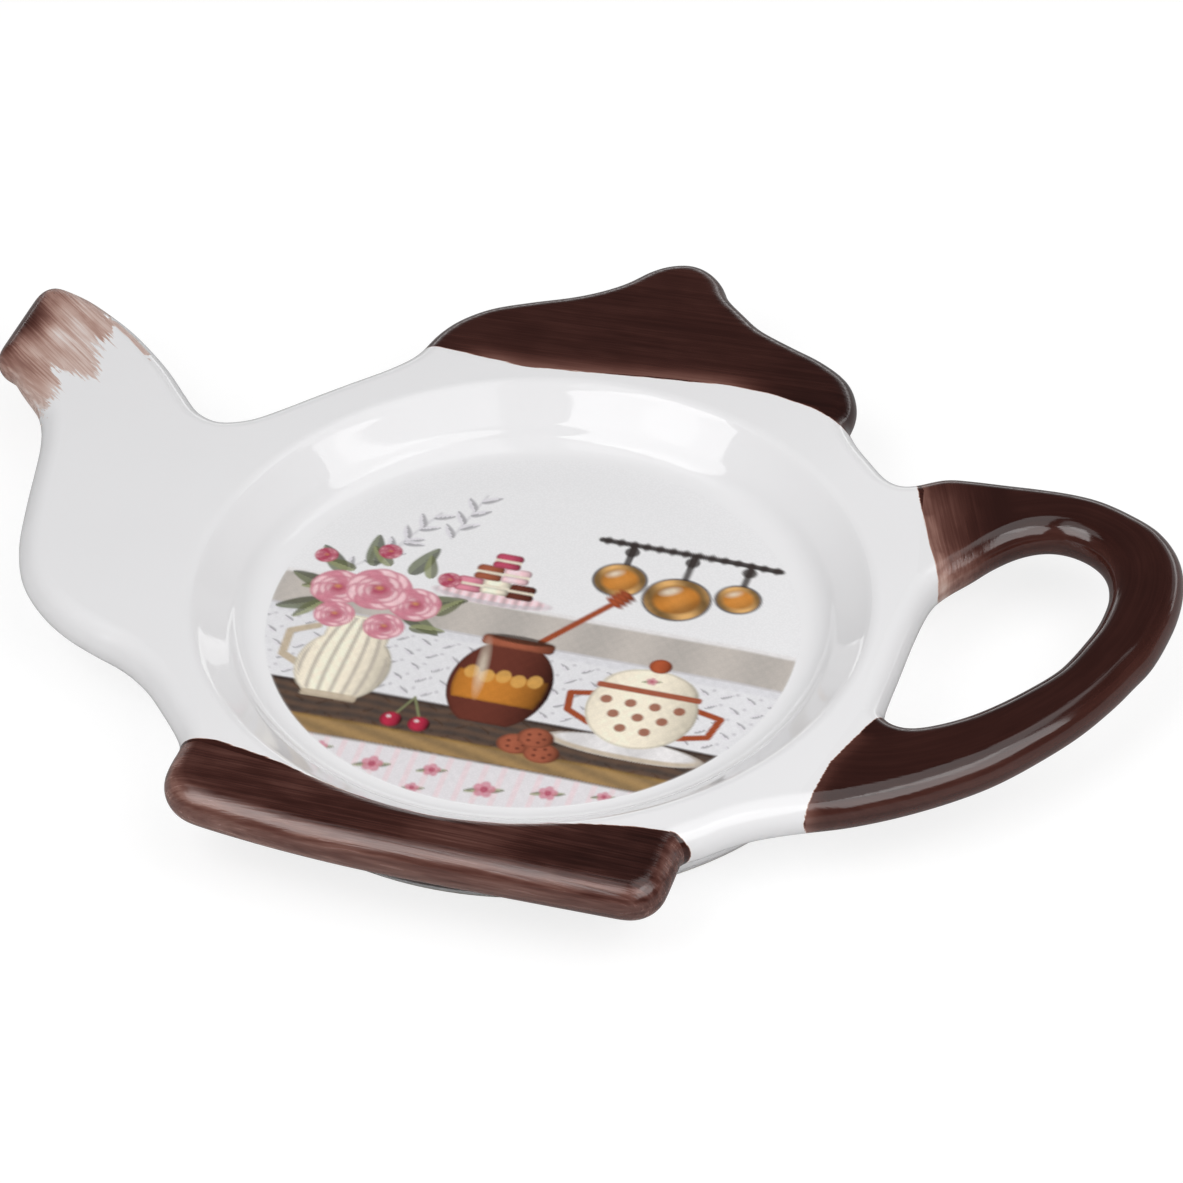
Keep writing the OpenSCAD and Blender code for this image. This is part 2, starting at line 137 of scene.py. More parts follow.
# Parts of a quarter of the edge's half round, and of the outline's curves and the seams
NOSE_PARTS = 12
CURVE_PARTS, CORNER_PARTS, SWEEP_PARTS, MOUTH_PARTS = 24, 24, 40, 13
WAVE_PARTS, LONG_WALL_PARTS, SHORT_WALL_PARTS = 120, 360, 48
# Points in the same cell of a grid this fine, in cells per millimetre, are joined
WELDS_PER_MM = 1e4


def smooth_rows(rows):
    """A smooth curve through rows of numbers."""
    rows = np.asarray(rows, float)
    padded = np.vstack([rows[:1], rows, rows[-1:]])
    t = (np.arange(CURVE_PARTS) / CURVE_PARTS)[:, None]
    u = 1 - t
    out = []
    for before, p, q, after in zip(padded, padded[1:], padded[2:], padded[3:]):
        a, b = (q - before) / 6, (after - p) / 6
        out.append(p * u ** 3 + (p + a) * 3 * t * u ** 2 + (q - b) * 3 * t ** 2 * u + q * t ** 3)
    return np.vstack(out + [rows[-1:]])


def arc(mid, radius, first, last, steps):
    """Points on a circle, from one angle in degrees to another."""
    a = np.radians(np.linspace(first, last, steps + 1))
    return np.c_[mid[0] + radius * np.cos(a), mid[1] + radius * np.sin(a)]


def spaced(path, gap):
    """The same path with points at even gaps."""
    path = np.asarray(path, float)
    s = np.r_[0, np.cumsum(np.linalg.norm(np.diff(path, axis=0), axis=1))]
    t = np.linspace(0, s[-1], max(3, int(round(s[-1] / gap)) + 1))
    return np.c_[np.interp(t, s, path[:, 0]), np.interp(t, s, path[:, 1])]


def bell_weights(gap, width, reach_widths):
    """How many gaps a bell curve reaches, and its weights there, which add up to 1."""
    reach = int(reach_widths * width / gap)
    weights = np.exp(-0.5 * (np.arange(-reach, reach + 1) * gap / width) ** 2)
    return reach, weights / weights.sum()


def closed_curve(runs):
    """Joins named runs to a closed curve, softened a little, and says where each starts and ends."""
    parts = [spaced(run, STEP)[:-1] for run in runs.values()]
    ends = np.cumsum([0] + [len(part) for part in parts]).tolist()
    points = np.vstack(parts)
    reach, weights = bell_weights(STEP, SOFTEN, SOFTEN_REACH)
    soft = sum(w * np.roll(points, -k, axis=0) for k, w in zip(range(-reach, reach + 1), weights))
    return soft, dict(zip(runs, zip(ends, ends[1:])))


def inward(points):
    """Unit vectors into the clay, which lies on the left of a closed curve."""
    t = np.roll(points, -1, axis=0) - np.roll(points, 1, axis=0)
    t /= np.linalg.norm(t, axis=1)[:, None]
    return np.c_[-t[:, 1], t[:, 0]]


# Places on the outline in millimetres from the well's middle, for a well of this radius
USUAL_WELL = 35.2
LID_RIGHT, LID_LEFT, LID_Y = [24, 36.9], [-24, 37.3], 37.3
HANDLE_TOP, HANDLE_LOW = [33.6, 29.2], [36, -24.3]
SPOUT_TOP, SPOUT_LOW = [-41, 19.7], [-56.9, 3.8]
PLINTH_X, PLINTH_Y = -1.3, -31.6
KNOB_X = 0.4
RIGHT_BELLY = [[27.4, -30.5], [29.2, -28.6], [32.2, -26.3]]
RIGHT_SHOULDER = [[32.2, 28.6], [30.4, 29.4], [28, 31.8], [25.8, 34.2]]
LEFT_SHOULDER = [[-24.8, 35.4], [-26.8, 32.8], [-29.5, 30], [-32.5, 26.8], [-35.5, 23.5], [-38.2, 20.9]]
LEFT_BELLY = [[-56.1, 0], [-55, -4.5], [-53, -9.2], [-50, -12.8], [-46.5, -15.5], [-42.5, -17.5],
              [-38.5, -19.2], [-35, -21.7], [-32, -24.9], [-29.4, -28], [-28.3, -29.8]]

# The opening's upright side, in millimetres from where it is level with the well's middle
OPENING_TOP, OPENING_LOW = [0.6, 13.2], [0.3, -7.4]
OPENING_SIDE = [[0, -5], [0, 0], [0, 6], [0.2, 10.5]]

# How far the plinth's upper corners lie off its straight ends, in millimetres
LEFT_NIP, RIGHT_NIP = [0.2, 0.4], [-0.1, -0.4]

# Handle: outer and inner edge. Across as shares of its reach, up in millimetres
HANDLE_ROWS = [
    [-0.12, 30.9, 0.05, 14.6], [0, 31.4, 0.083, 16], [0.145, 31.7, 0.138, 18], [0.283, 32, 0.2, 20.6],
    [0.421, 32.1, 0.287, 23.2], [0.551, 31.7, 0.39, 24.7], [0.689, 30.4, 0.5, 24.5],
    [0.823, 28.5, 0.602, 23], [0.925, 25.4, 0.669, 20.6], [0.98, 21.7, 0.705, 17.5],
    [1, 17.3, 0.709, 14.5], [0.992, 13, 0.697, 11.5], [0.969, 9, 0.673, 9], [0.931, 6.1, 0.646, 6.5],
    [0.878, 2.3, 0.606, 3.8], [0.79, -2.6, 0.531, 0.8], [0.671, -7.5, 0.433, -2.5],
    [0.534, -12.2, 0.331, -5.3], [0.378, -16.1, 0.224, -7.4], [0.203, -19.6, 0.13, -8.6],
    [0.028, -22.4, 0.063, -8.4],
]

# Spout: low and top edge from the middle of its root, as shares of its reach. Mouth: the height of
# its middle as such a share, its lean in millimetres, and how far its corners turn, in degrees
SPOUT_ROWS = [
    [-0.45, -0.205, 0.28, 0.47], [-0.49, -0.02, 0.153, 0.605], [-0.545, 0.15, 0, 0.78],
    [-0.62, 0.29, -0.158, 0.93], [-0.705, 0.385, -0.313, 1.06], [-0.778, 0.46, -0.468, 1.163],
    [-0.83, 0.52, -0.65, 1.266],
]
MOUTH_RISE, MOUTH_LEAN, MOUTH_TURN = 0.951, 0.6, 80

# Lid: across in millimetres, up as shares of its height. Knob: across as shares of its width
LID_RIGHT_ROWS = [[24.2, 0.06], [23.9, 0.17], [22.3, 0.31], [19, 0.42], [15, 0.5], [11, 0.586], [8.6, 0.676]]
LID_LEFT_ROWS = [[-8.2, 0.68], [-11, 0.595], [-15, 0.505], [-19, 0.4], [-21.8, 0.266], [-23.3, 0.13]]
KNOB_ROWS = [[0.46, 0.793], [0.36, 0.887], [0.2, 0.968], [0, 1], [-0.22, 0.964], [-0.39, 0.887],
             [-0.54, 0.775]]

# The lid's seam is a wave: half its length, where it crosses its middle, and a quarter of its period
SEAM_HALF, SEAM_CROSSING, SEAM_QUARTER = 20.4, -3, 13

# Where the plinth's seams meet the well's wall, in degrees
WALL_LEFT, WALL_RIGHT = 250, -70

# The flat top's slow waves, how far it lies down everywhere, and its two shallow hollows: middle,
# spread and depth. All in millimetres
WAVE_HEIGHT, SUNK = 0.02, 0.035
HOLLOWS = [((27, 24), 60, 0.14), ((-45, 4), 140, 0.1)]
SLOPE_STEP = 0.05
LIP_SHARE = 0.9


class Plan:
    """The outline in millimetres from the well's middle, and where the pieces part on it."""

    def __init__(self, sizes):
        mm = {k: getattr(sizes, k) / MM for k in RestSizes.__annotations__}
        self.mm = mm
        self.r = mm["flange"] / 2
        self.top = mm["height"]
        self.mid = self.top - self.r
        self.under = self.top - mm["flange"]
        self.wall = mm["well_radius"]
        self.share = self.wall / USUAL_WELL
        self.hole_x = self.wall + mm["rim_width"]
        self.front = PLINTH_Y * self.share - mm["plinth_depth"]
        self.lid_y = LID_Y * self.share
        self.spout_mid = (self.at(SPOUT_TOP) + self.at(SPOUT_LOW)) / 2
        left_x, right_x = self.spout_mid[0] - mm["spout_reach"], self.hole_x + mm["handle_reach"]
        self.well_at = np.array([-(left_x + right_x) / 2, -(self.front + self.lid_y + mm["lid_height"]) / 2])
        rise = MOUTH_RISE * mm["spout_reach"] - mm["mouth_width"] / 2
        mouth_low = np.array([left_x + self.r, self.spout_mid[1] + rise])
        self.mouth = mouth_low, mouth_low + [MOUTH_LEAN * self.share, mm["mouth_width"]]

        self.bar = self.handle_rows()
        plinth = self.plinth_line()
        self.outer, self.runs = closed_curve({
            "plinth": plinth,
            "right belly": smooth_rows([plinth[-1], *self.at(RIGHT_BELLY), self.at(HANDLE_LOW)]),
            "handle outside": self.bar[::-1, :2],
            "right shoulder": smooth_rows([self.at(HANDLE_TOP), *self.at(RIGHT_SHOULDER),
                                           self.at(LID_RIGHT)]),
            "lid": self.lid_line(),
            "left shoulder": smooth_rows([self.at(LID_LEFT), *self.at(LEFT_SHOULDER), self.at(SPOUT_TOP)]),
            "spout": self.spout_line(),
            "left belly": smooth_rows([self.at(SPOUT_LOW), *self.at(LEFT_BELLY), plinth[0]]),
        })
        side = [self.opening(OPENING_LOW), *self.opening(OPENING_SIDE), self.opening(OPENING_TOP)]
        self.hole, self.hole_runs = closed_curve({"opening": smooth_rows(side),
                                                  "handle inside": self.bar[:, 2:]})
        self.outer_in, self.hole_in = inward(self.outer), inward(self.hole)
        self.seams = self.seam_lines()

    def at(self, rows):
        """Places for the usual well, drawn in or out with the real one."""
        return np.asarray(rows, float) * self.share

    def opening(self, rows):
        return [self.hole_x, 0] + self.at(rows)

    def plinth_line(self):
        """The plinth's edge: its ends, two corners and a front that sweeps back to the left."""
        mm, front, top = self.mm, self.front, PLINTH_Y * self.share
        mid_x = PLINTH_X * self.share
        x0, x1 = mid_x - mm["plinth_length"] / 2, mid_x + mm["plinth_length"] / 2
        r0, r1 = mm["left_corner"], mm["right_corner"]
        slant = math.atan(2 * mm["sweep_depth"] / mm["sweep_length"])
        y0, y1 = front + mm["sweep_depth"] + r0 * math.cos(slant), front + r1
        t = np.linspace(0, 1, SWEEP_PARTS)[1:]
        first_x = x0 + r0 * (1 - math.sin(slant))
        return np.vstack([
            [[x0, top] + self.at(LEFT_NIP), [x0, (2 * top + y0) / 3]],
            arc((x0 + r0, y0), r0, 180, 270 - math.degrees(slant), CORNER_PARTS),
            np.c_[first_x + mm["sweep_length"] * t, front + mm["sweep_depth"] * (1 - t) ** 2],
            arc((x1 - r1, y1), r1, 270, 360, CORNER_PARTS),
            [[x1, (2 * top + y1) / 3], [x1, top] + self.at(RIGHT_NIP)]])

    def lid_line(self):
        """The lid's edge, from its right end over the knob to its left end."""
        high, low = self.mm["lid_height"], self.lid_y
        rows = [[x * self.share, low + y * high] for x, y in LID_RIGHT_ROWS]
        rows += [[KNOB_X * self.share + x * self.mm["knob_width"], low + y * high] for x, y in KNOB_ROWS]
        rows += [[x * self.share, low + y * high] for x, y in LID_LEFT_ROWS]
        return smooth_rows([self.at(LID_RIGHT), *rows, self.at(LID_LEFT)])

    def spout_line(self):
        """The spout's edge, from its top side round the mouth to its low side."""
        low, top = self.mouth
        mids = np.r_[self.spout_mid, self.spout_mid]
        rows = [np.r_[self.at(SPOUT_LOW), self.at(SPOUT_TOP)]]
        rows += [mids + np.array(row) * self.mm["spout_reach"] for row in SPOUT_ROWS]
        rows = smooth_rows(rows + [np.r_[low, top]])
        a = np.radians(np.linspace(0, MOUTH_TURN, MOUTH_PARTS))[:, None]
        turn = self.r * np.c_[-np.sin(a) / math.sin(math.radians(MOUTH_TURN)), 1 - np.cos(a)]
        return np.vstack([rows[:, 2:], top + turn * [1, -1], (low + turn)[::-1], rows[::-1, :2]])

    def handle_rows(self):
        """The handle's outer and inner edge, side by side from its top to its low end."""
        x0, reach = self.hole_x, self.mm["handle_reach"]
        rows = [np.r_[self.at(HANDLE_TOP), self.opening(OPENING_TOP)]]
        for out_x, out_y, in_x, in_y in HANDLE_ROWS:
            rows.append([x0 + out_x * reach, out_y * self.share, x0 + in_x * reach, in_y * self.share])
        return smooth_rows(rows + [np.r_[self.at(HANDLE_LOW), self.opening(OPENING_LOW)]])

    def seam_lines(self):
        """Lines where the pieces meet, from one half round's middle to the other's."""

        def inner(curve, normals, i):
            i %= len(curve)
            return curve[i] + normals[i] * self.r

        def line(p, q):
            return spaced([p, q], SEAM_STEP)

        def on_wall(degrees):
            return self.wall * np.array([math.cos(math.radians(degrees)), math.sin(math.radians(degrees))])

        ends = {k: inner(self.outer, self.outer_in, first) for k, (first, _) in self.runs.items()}
        hole_low, hole_top = (inner(self.hole, self.hole_in, i) for i in self.hole_runs["opening"])
        x = np.linspace(SEAM_HALF, -SEAM_HALF, WAVE_PARTS)
        turn = np.radians(90 * (x - SEAM_CROSSING) / SEAM_QUARTER)
        wave = np.c_[x * self.share, self.lid_y + self.mm["lid_wave"] * np.sin(turn)]
        return {
            "low": line(ends["handle outside"], hole_low),
            "top": line(hole_top, ends["right shoulder"]),
            "lid": spaced(np.vstack([[ends["lid"]], wave, [ends["left shoulder"]]]), SEAM_STEP),
            "spout": line(ends["spout"], ends["left belly"]),
            "plinth left": line(ends["plinth"], on_wall(WALL_LEFT)),
            "plinth right": line(on_wall(WALL_RIGHT), ends["right belly"]),
            "long wall": arc((0, 0), self.wall, WALL_LEFT, WALL_RIGHT, LONG_WALL_PARTS),
            "short wall": arc((0, 0), self.wall, WALL_RIGHT + 360, WALL_LEFT, SHORT_WALL_PARTS),
        }

    def relief(self, p):
        """How far the flat top lies below its full height: slow waves of a hand-finished flange."""
        x, y = p[:, 0], p[:, 1]
        waves = np.sin(x / 9.1 + 1.3) * np.sin(y / 7.7 + 0.4) + 0.6 * np.sin(x / 5.3 - y / 6.1 + 2.0)
        dish = sum(depth * np.exp(-((x - at_x) ** 2 + (y - at_y) ** 2) / spread)
                   for (at_x, at_y), spread, depth in HOLLOWS)
        return np.minimum(0.0, waves * WAVE_HEIGHT - SUNK - dish) - self.lip_drop(np.hypot(x, y))

    def lip_drop(self, radius):
        """How far the lip's rounding has fallen at a distance from the well's middle."""
        lip = self.mm["lip"]
        run = np.clip(self.wall + self.mm["lip_reach"] - radius, 0, LIP_SHARE * lip)
        return lip - np.sqrt(lip ** 2 - run ** 2)

    def slope(self, p):
        """Normals of the flat top."""
        e = SLOPE_STEP
        dx = (self.relief(p + [e, 0]) - self.relief(p - [e, 0])) / (2 * e)
        dy = (self.relief(p + [0, e]) - self.relief(p - [0, e])) / (2 * e)
        n = np.c_[-dx, -dy, np.ones(len(p))]
        return n / np.linalg.norm(n, axis=1)[:, None]


class Skin:
    """Faces of one piece in millimetres, each corner with its own normal."""

    def __init__(self):
        self.points, self.faces, self.normals, self.count = [], [], [], 0

    def add(self, points, faces, normals=None):
        points = np.asarray(points, float)
        for f in faces:
            self.faces.append([self.count + k for k in f])
            if normals is None:
                a, b, c = points[f[0]], points[f[len(f) // 3]], points[f[2 * len(f) // 3]]
                n = np.cross(b - a, c - a)
                n = n / max(np.linalg.norm(n), 1e-12)
                self.normals.append([n] * len(f))
            else:
                self.normals.append([normals[k] for k in f])
        self.points.append(points)
        self.count += len(points)

    def mesh(self, name, shift):
        points = np.vstack(self.points)
        cells = np.round(points * WELDS_PER_MM).astype(np.int64)
        _, first, index = np.unique(cells, axis=0, return_index=True, return_inverse=True)
        index = index.ravel()
        faces, normals = [], []
        for f, ns in zip(self.faces, self.normals):
            kept, kept_n = [], []
            for k, n in zip(f, ns):
                w = int(index[k])
                if w not in kept:
                    kept.append(w)
                    kept_n.append(n)
            if len(kept) > 2:
                faces.append(kept)
                normals.extend(kept_n)
        verts = (points[first] + [shift[0], shift[1], 0]) * MM
        mesh = bpy.data.meshes.new(name)
        mesh.from_pydata(verts.tolist(), [], faces)
        mesh.polygons.foreach_set("use_smooth", [True] * len(mesh.polygons))
        mesh.normals_split_custom_set([tuple(n) for n in normals])
        mesh.update()
        return mesh, points[first]


def grid_faces(rows, columns):
    """Four-cornered faces between neighbours in a grid of points."""
    return [[i * columns + k, (i + 1) * columns + k, (i + 1) * columns + k + 1, i * columns + k + 1]
            for i in range(rows - 1) for k in range(columns - 1)]


def free_edge(skin, plan, curve, into, first, last):
    """Half round between two places of a closed curve, and its inner line for the flats."""
    index = np.arange(first, last + 1) % len(curve)
    p, n = curve[index], into[index]
    a = np.radians(np.linspace(-90, 90, 2 * NOSE_PARTS + 1))
    points, normals = [], []
    for ak in a:
        q = p + n * plan.r * (1 - math.cos(ak))
        z = plan.mid + (plan.r + (plan.relief(q) if ak > 0 else 0)) * math.sin(ak)
        points.append(np.c_[q, np.broadcast_to(z, len(q))])
        m = np.c_[-n * math.cos(ak), np.full(len(n), math.sin(ak))]
        if ak > 0:
            m = m + (plan.slope(q) - [0, 0, 1]) * math.sin(ak)
        normals.append(m / np.linalg.norm(m, axis=1)[:, None])
    points = np.stack(points, 1)
    skin.add(points.reshape(-1, 3), grid_faces(len(p), len(a)), np.stack(normals, 1).reshape(-1, 3))
    return points


def seam_wall(skin, plan, line, start, end):
    """Upright wall under a seam. start, end: the half rounds' cross-sections at its ends, or None."""
    top = plan.top + plan.relief(line)
    points = np.stack([np.c_[line, np.full(len(line), plan.under)], np.c_[line, top]], 1).reshape(-1, 3)
    skin.add(points, grid_faces(len(line), 2))
    if start is not None:
        skin.add(start, [list(range(len(start)))[::-1]])
    if end is not None:
        skin.add(end, [list(range(len(end)))])


def inside(loop, p):
    """Which points lie inside a closed loop."""
    a, b = loop, np.roll(loop, -1, axis=0)
    hit = np.zeros(len(p), bool)
    for (x0, y0), (x1, y1) in zip(a, b):
        if y0 != y1:
            left_of = p[:, 0] < (x1 - x0) * (p[:, 1] - y0) / (y1 - y0) + x0
            hit ^= ((y0 > p[:, 1]) != (y1 > p[:, 1])) & left_of
    return hit


def clearance(loop, points):
    """Distance from each point to the nearest corner of a loop."""
    return np.array([math.sqrt(np.min(np.sum((loop - p) ** 2, axis=1))) for p in points])


# Grid of points within the flats: its gap in millimetres, and the gap of its rows as a share of that
FLAT_STEP, ROW_SHARE = 1.1, 0.866
# Rings of points round the well's lip: how far out as shares of the lip's reach, and points in each
RING_SHARES, RING_PARTS = (0.2, 0.45, 0.7, 1.0), 400
# How clear, in millimetres, the grid stays of the lip and of the loop, and the rings of the loop
LIP_CLEAR, LOOP_CLEAR, RING_CLEAR = 0.4, 0.55, 0.16
# Nearer corners of the loop and nearer points count as one, and a smaller face as none
SAME_PLACE, SAME_POINT, NO_AREA = 1e-5, 1e-7, 1e-9


def flat_points(plan, loop):
    """A loop and points spread evenly within it, closer along the well's lip."""
    low, high = loop.min(0), loop.max(0)
    reach = plan.mm["lip_reach"]
    xs, ys = np.arange(low[0], high[0], FLAT_STEP), np.arange(low[1], high[1], FLAT_STEP * ROW_SHARE)
    grid = np.array([[x + (j % 2) * FLAT_STEP / 2, y] for j, y in enumerate(ys) for x in xs])
    grid = grid[inside(loop, grid)]
    grid = grid[np.hypot(*grid.T) > plan.wall + reach + LIP_CLEAR]
    parts = [loop, grid[clearance(loop, grid) > LOOP_CLEAR]]
    turn = np.linspace(0, 2 * math.pi, RING_PARTS, endpoint=False)
    for share in RING_SHARES:
        ring = (plan.wall + share * reach) * np.c_[np.cos(turn), np.sin(turn)]
        ring = ring[inside(loop, ring)]
        parts.append(ring[clearance(loop, ring) > RING_CLEAR])
    return np.vstack(parts)


def flats(skin, plan, loop):
    """Top and underside within a loop."""
    loop = loop[np.linalg.norm(loop - np.roll(loop, 1, axis=0), axis=1) > SAME_PLACE]
    points = [Vector(p) for p in flat_points(plan, loop)]
    out, _, faces, *_ = delaunay_2d_cdt(points, [], [list(range(len(loop)))], 1, SAME_POINT)
    flat = np.array([[p.x, p.y] for p in out])
    turned = []
    for f in faces:
        a, b, c = (flat[k] for k in f[:3])
        area = (b[0] - a[0]) * (c[1] - a[1]) - (b[1] - a[1]) * (c[0] - a[0])
        if abs(area) > NO_AREA:
            turned.append(list(f) if area > 0 else list(f)[::-1])
    skin.add(np.c_[flat, plan.top + plan.relief(flat)], turned, plan.slope(flat))
    down = np.tile([0.0, 0.0, -1.0], (len(flat), 1))
    skin.add(np.c_[flat, np.full(len(flat), plan.under)], [f[::-1] for f in turned], down)


# Each slab's edge, counter-clockwise: free runs of the outline and seams. "-" turns a seam round.
SLABS = {
    "rim": ["right belly", "low", "opening", "top", "right shoulder", "lid ", "left shoulder", "spout ",
            "left belly", "plinth left", "long wall", "plinth right"],
    "lid": ["lid", "-lid "],
    "spout": ["spout", "-spout "],
    "handle": ["handle outside", "-top", "handle inside", "-low"],
    "plinth": ["plinth", "-plinth right", "short wall", "-plinth left"],
}


def slab(plan, name):
    """Closed skin of one of the flat pieces."""
    skin = Skin()
    made = []
    for word in SLABS[name]:
        if word in plan.runs:
            made.append(free_edge(skin, plan, plan.outer, plan.outer_in, *plan.runs[word]))
        elif word in plan.hole_runs:
            made.append(free_edge(skin, plan, plan.hole, plan.hole_in, *plan.hole_runs[word]))
        else:
            line = plan.seams[word.strip("- ")]
            made.append(line[::-1] if word.startswith("-") else line)
    loop = []
    for i, part in enumerate(made):
        if part.ndim == 3:
            loop.append(part[:, -1, :2])
            continue
        before, after = made[i - 1], made[(i + 1) % len(made)]
        start = before[-1] if before.ndim == 3 else None
        end = after[0] if after.ndim == 3 else None
        seam_wall(skin, plan, part, start, end)
        # A half round beside the seam already brings the corner that they share
        first = 0 if start is None else 1
        last = len(part) if end is None else len(part) - 1
        loop.append(part[first:last])
    flats(skin, plan, np.vstack(loop))
    return skin


# How far a profile's softening reaches, in widths of its bell
PROFILE_REACH = 3


def soft_profile(points, gap, width):
    """A profile resampled at even gaps and softened, with its ends kept."""
    p = spaced(points, gap)
    reach, weights = bell_weights(gap, width, PROFILE_REACH)
    pad = np.vstack([2 * p[0] - p[reach:0:-1], p, 2 * p[-1] - p[-2:-reach - 2:-1]])
    return np.stack([np.convolve(pad[:, i], weights, mode="valid") for i in range(2)], 1)


# Materials
class Nodes:
    """A node tree, with short calls to add and join nodes."""

    def __init__(self, tree):
        self.tree = tree

    def add(self, kind, settings=None, **sockets):
        node = self.tree.nodes.new(kind)
        for k, value in (settings or {}).items():
            setattr(node, k, value)
        for k, value in sockets.items():
            self.set(node, k, value)
        return node

    def set(self, node, key, value):
        """Sets or joins a socket, named by its label or as i and its number."""
        numbered = key[0] == "i" and key[1:].isdigit()
        socket = node.inputs[int(key[1:])] if numbered else node.inputs[key.replace("_", " ")]
        if isinstance(value, bpy.types.NodeSocket):
            self.tree.links.new(value, socket)
        else:
            socket.default_value = value

    def math(self, operation, a, b=0.0):
        n = self.tree.nodes.new("ShaderNodeMath")
        n.operation = operation
        self.set(n, "i0", a)
        self.set(n, "i1", b)
        return n.outputs[0]

    def span(self, value, low, high, out_low=0.0, out_high=1.0):
        """A smooth step from one level to another."""
        n = self.add("ShaderNodeMapRange", {"interpolation_type": "SMOOTHSTEP"}, Value=value)
        for k, v in (("From Min", low), ("From Max", high), ("To Min", out_low), ("To Max", out_high)):
            self.set(n, k, v)
        return n.outputs["Result"]

    def mix(self, factor, a, b, blend="MIX"):
        n = self.add("ShaderNodeMix", {"data_type": "RGBA", "blend_type": blend})
        self.set(n, "i0", factor)
        self.set(n, "i6", a)
        self.set(n, "i7", b)
        return n.outputs[2]

    def noise(self, vector, scale, detail=3.0, rough=0.5):
        n = self.add("ShaderNodeTexNoise", Vector=vector, Scale=scale, Detail=detail, Roughness=rough)
        return n.outputs[0]

    def stretched(self, vector, scale):
        return self.add("ShaderNodeMapping", Vector=vector, Scale=scale).outputs[0]

    def parts(self, vector):
        return self.add("ShaderNodeSeparateXYZ", Vector=vector).outputs

    def attribute(self, name):
        return self.add("ShaderNodeAttribute", {"attribute_name": name}).outputs

    def grouped(self, tree, **sockets):
        return self.add("ShaderNodeGroup", {"node_tree": tree}, **sockets).outputs

    def scaled(self, value, factor):
        return self.math("MULTIPLY", value, factor)


def rgba(c):
    return (c[0], c[1], c[2], 1.0)


def group(name, inputs, outputs, build):
    """A shader node group with named sockets, built once."""
    if name in bpy.data.node_groups:
        return bpy.data.node_groups[name]
    tree = bpy.data.node_groups.new(name, "ShaderNodeTree")
    for label, kind, value in inputs:
        socket = tree.interface.new_socket(label, in_out="INPUT", socket_type="NodeSocket" + kind)
        if value is not None:
            socket.default_value = value
    for label, kind in outputs:
        tree.interface.new_socket(label, in_out="OUTPUT", socket_type="NodeSocket" + kind)
    n = Nodes(tree)
    source, target = tree.nodes.new("NodeGroupInput"), tree.nodes.new("NodeGroupOutput")
    for label, socket in build(n, source.outputs).items():
        tree.links.new(socket, target.inputs[label])
    return tree


def glaze_skin():
    """Height of a glaze's slow waves and fine pits, and its dark specks."""

    def build(n, s):
        slow = n.noise(s["Vector"], s["Wave scale"], 1.0)
        fine = n.noise(s["Vector"], s["Pit scale"], 1.0)
        height = n.math("ADD", slow, n.scaled(fine, 0.03))
        cells = n.add("ShaderNodeTexVoronoi", Vector=s["Vector"], Scale=s["Speck scale"])
        chance = n.add("ShaderNodeSeparateColor", Color=cells.outputs["Color"])
        few = n.math("GREATER_THAN", chance.outputs[0], s["Speck rarity"])
        size = n.math("ADD", n.scaled(chance.outputs[1], 0.03), 0.015)
        dot = n.span(cells.outputs["Distance"], 0.01, size, 1.0, 0.0)
        return {"Height": height, "Specks": n.scaled(few, dot)}

    return group("Glaze skin",
                 [("Vector", "Vector", None), ("Wave scale", "Float", 70.0), ("Pit scale", "Float", 900.0),
                  ("Speck scale", "Float", 330.0), ("Speck rarity", "Float", 0.95)],
                 [("Height", "Float"), ("Specks", "Float")], build)


def brush_marks():
    """Grain that a brush leaves along its stroke, in millimetres along and across."""

    def build(n, s):
        fine = n.noise(n.stretched(s["Stroke"], (0.10, 4.2, 1.0)), 1.0, 3.0, 0.6)
        wide = n.noise(n.stretched(s["Stroke"], (0.05, 1.1, 1.0)), 1.0, 3.0, 0.6)
        patch = n.noise(n.stretched(s["Stroke"], (0.10, 0.22, 1.0)), 1.0, 3.0, 0.6)
        rag = n.noise(n.stretched(s["Stroke"], (0.14, 2.3, 1.0)), 1.0, 4.0, 0.7)
        grain = n.math("ADD", n.scaled(fine, 0.5), n.scaled(wide, 0.5))
        return {"Grain": n.span(grain, 0.36, 0.66), "Patches": n.span(patch, 0.36, 0.68),
                "Rag": n.scaled(n.math("SUBTRACT", rag, 0.5), 2.0)}

    return group("Brush marks", [("Stroke", "Vector", None)],
                 [("Grain", "Float"), ("Patches", "Float"), ("Rag", "Float")], build)


def brown_coat():
    """White clay seen through a brown glaze: each colour fades with the coat's thickness."""

    def build(n, s):
        under = n.add("ShaderNodeSeparateColor", Color=s["Under"]).outputs
        depth = n.scaled(s["Coat"], -1.0)
        thin = n.math("EXPONENT", n.scaled(depth, THIN_END))
        seen = []
        for u, fade, extra in zip(under, n.parts(s["Fade"]), n.parts(s["Thin fade"])):
            rate = n.math("ADD", fade, n.scaled(extra, thin))
            seen.append(n.scaled(u, n.math("EXPONENT", n.scaled(rate, depth))))
        colour_seen = n.add("ShaderNodeCombineColor", Red=seen[0], Green=seen[1], Blue=seen[2])
        return {"Color": colour_seen.outputs[0]}

    return group("Brown coat", [("Under", "Color", None), ("Fade", "Vector", None),
                                ("Thin fade", "Vector", None), ("Coat", "Float", 0.0)],
                 [("Color", "Color")], build)


def new_material(name):
    mat = bpy.data.materials.new(name)
    mat.use_nodes = True
    mat.node_tree.nodes.clear()
    return mat, Nodes(mat.node_tree)


def finish_material(n, shader):
    n.tree.links.new(shader, n.add("ShaderNodeOutputMaterial").inputs[0])


# Glaze

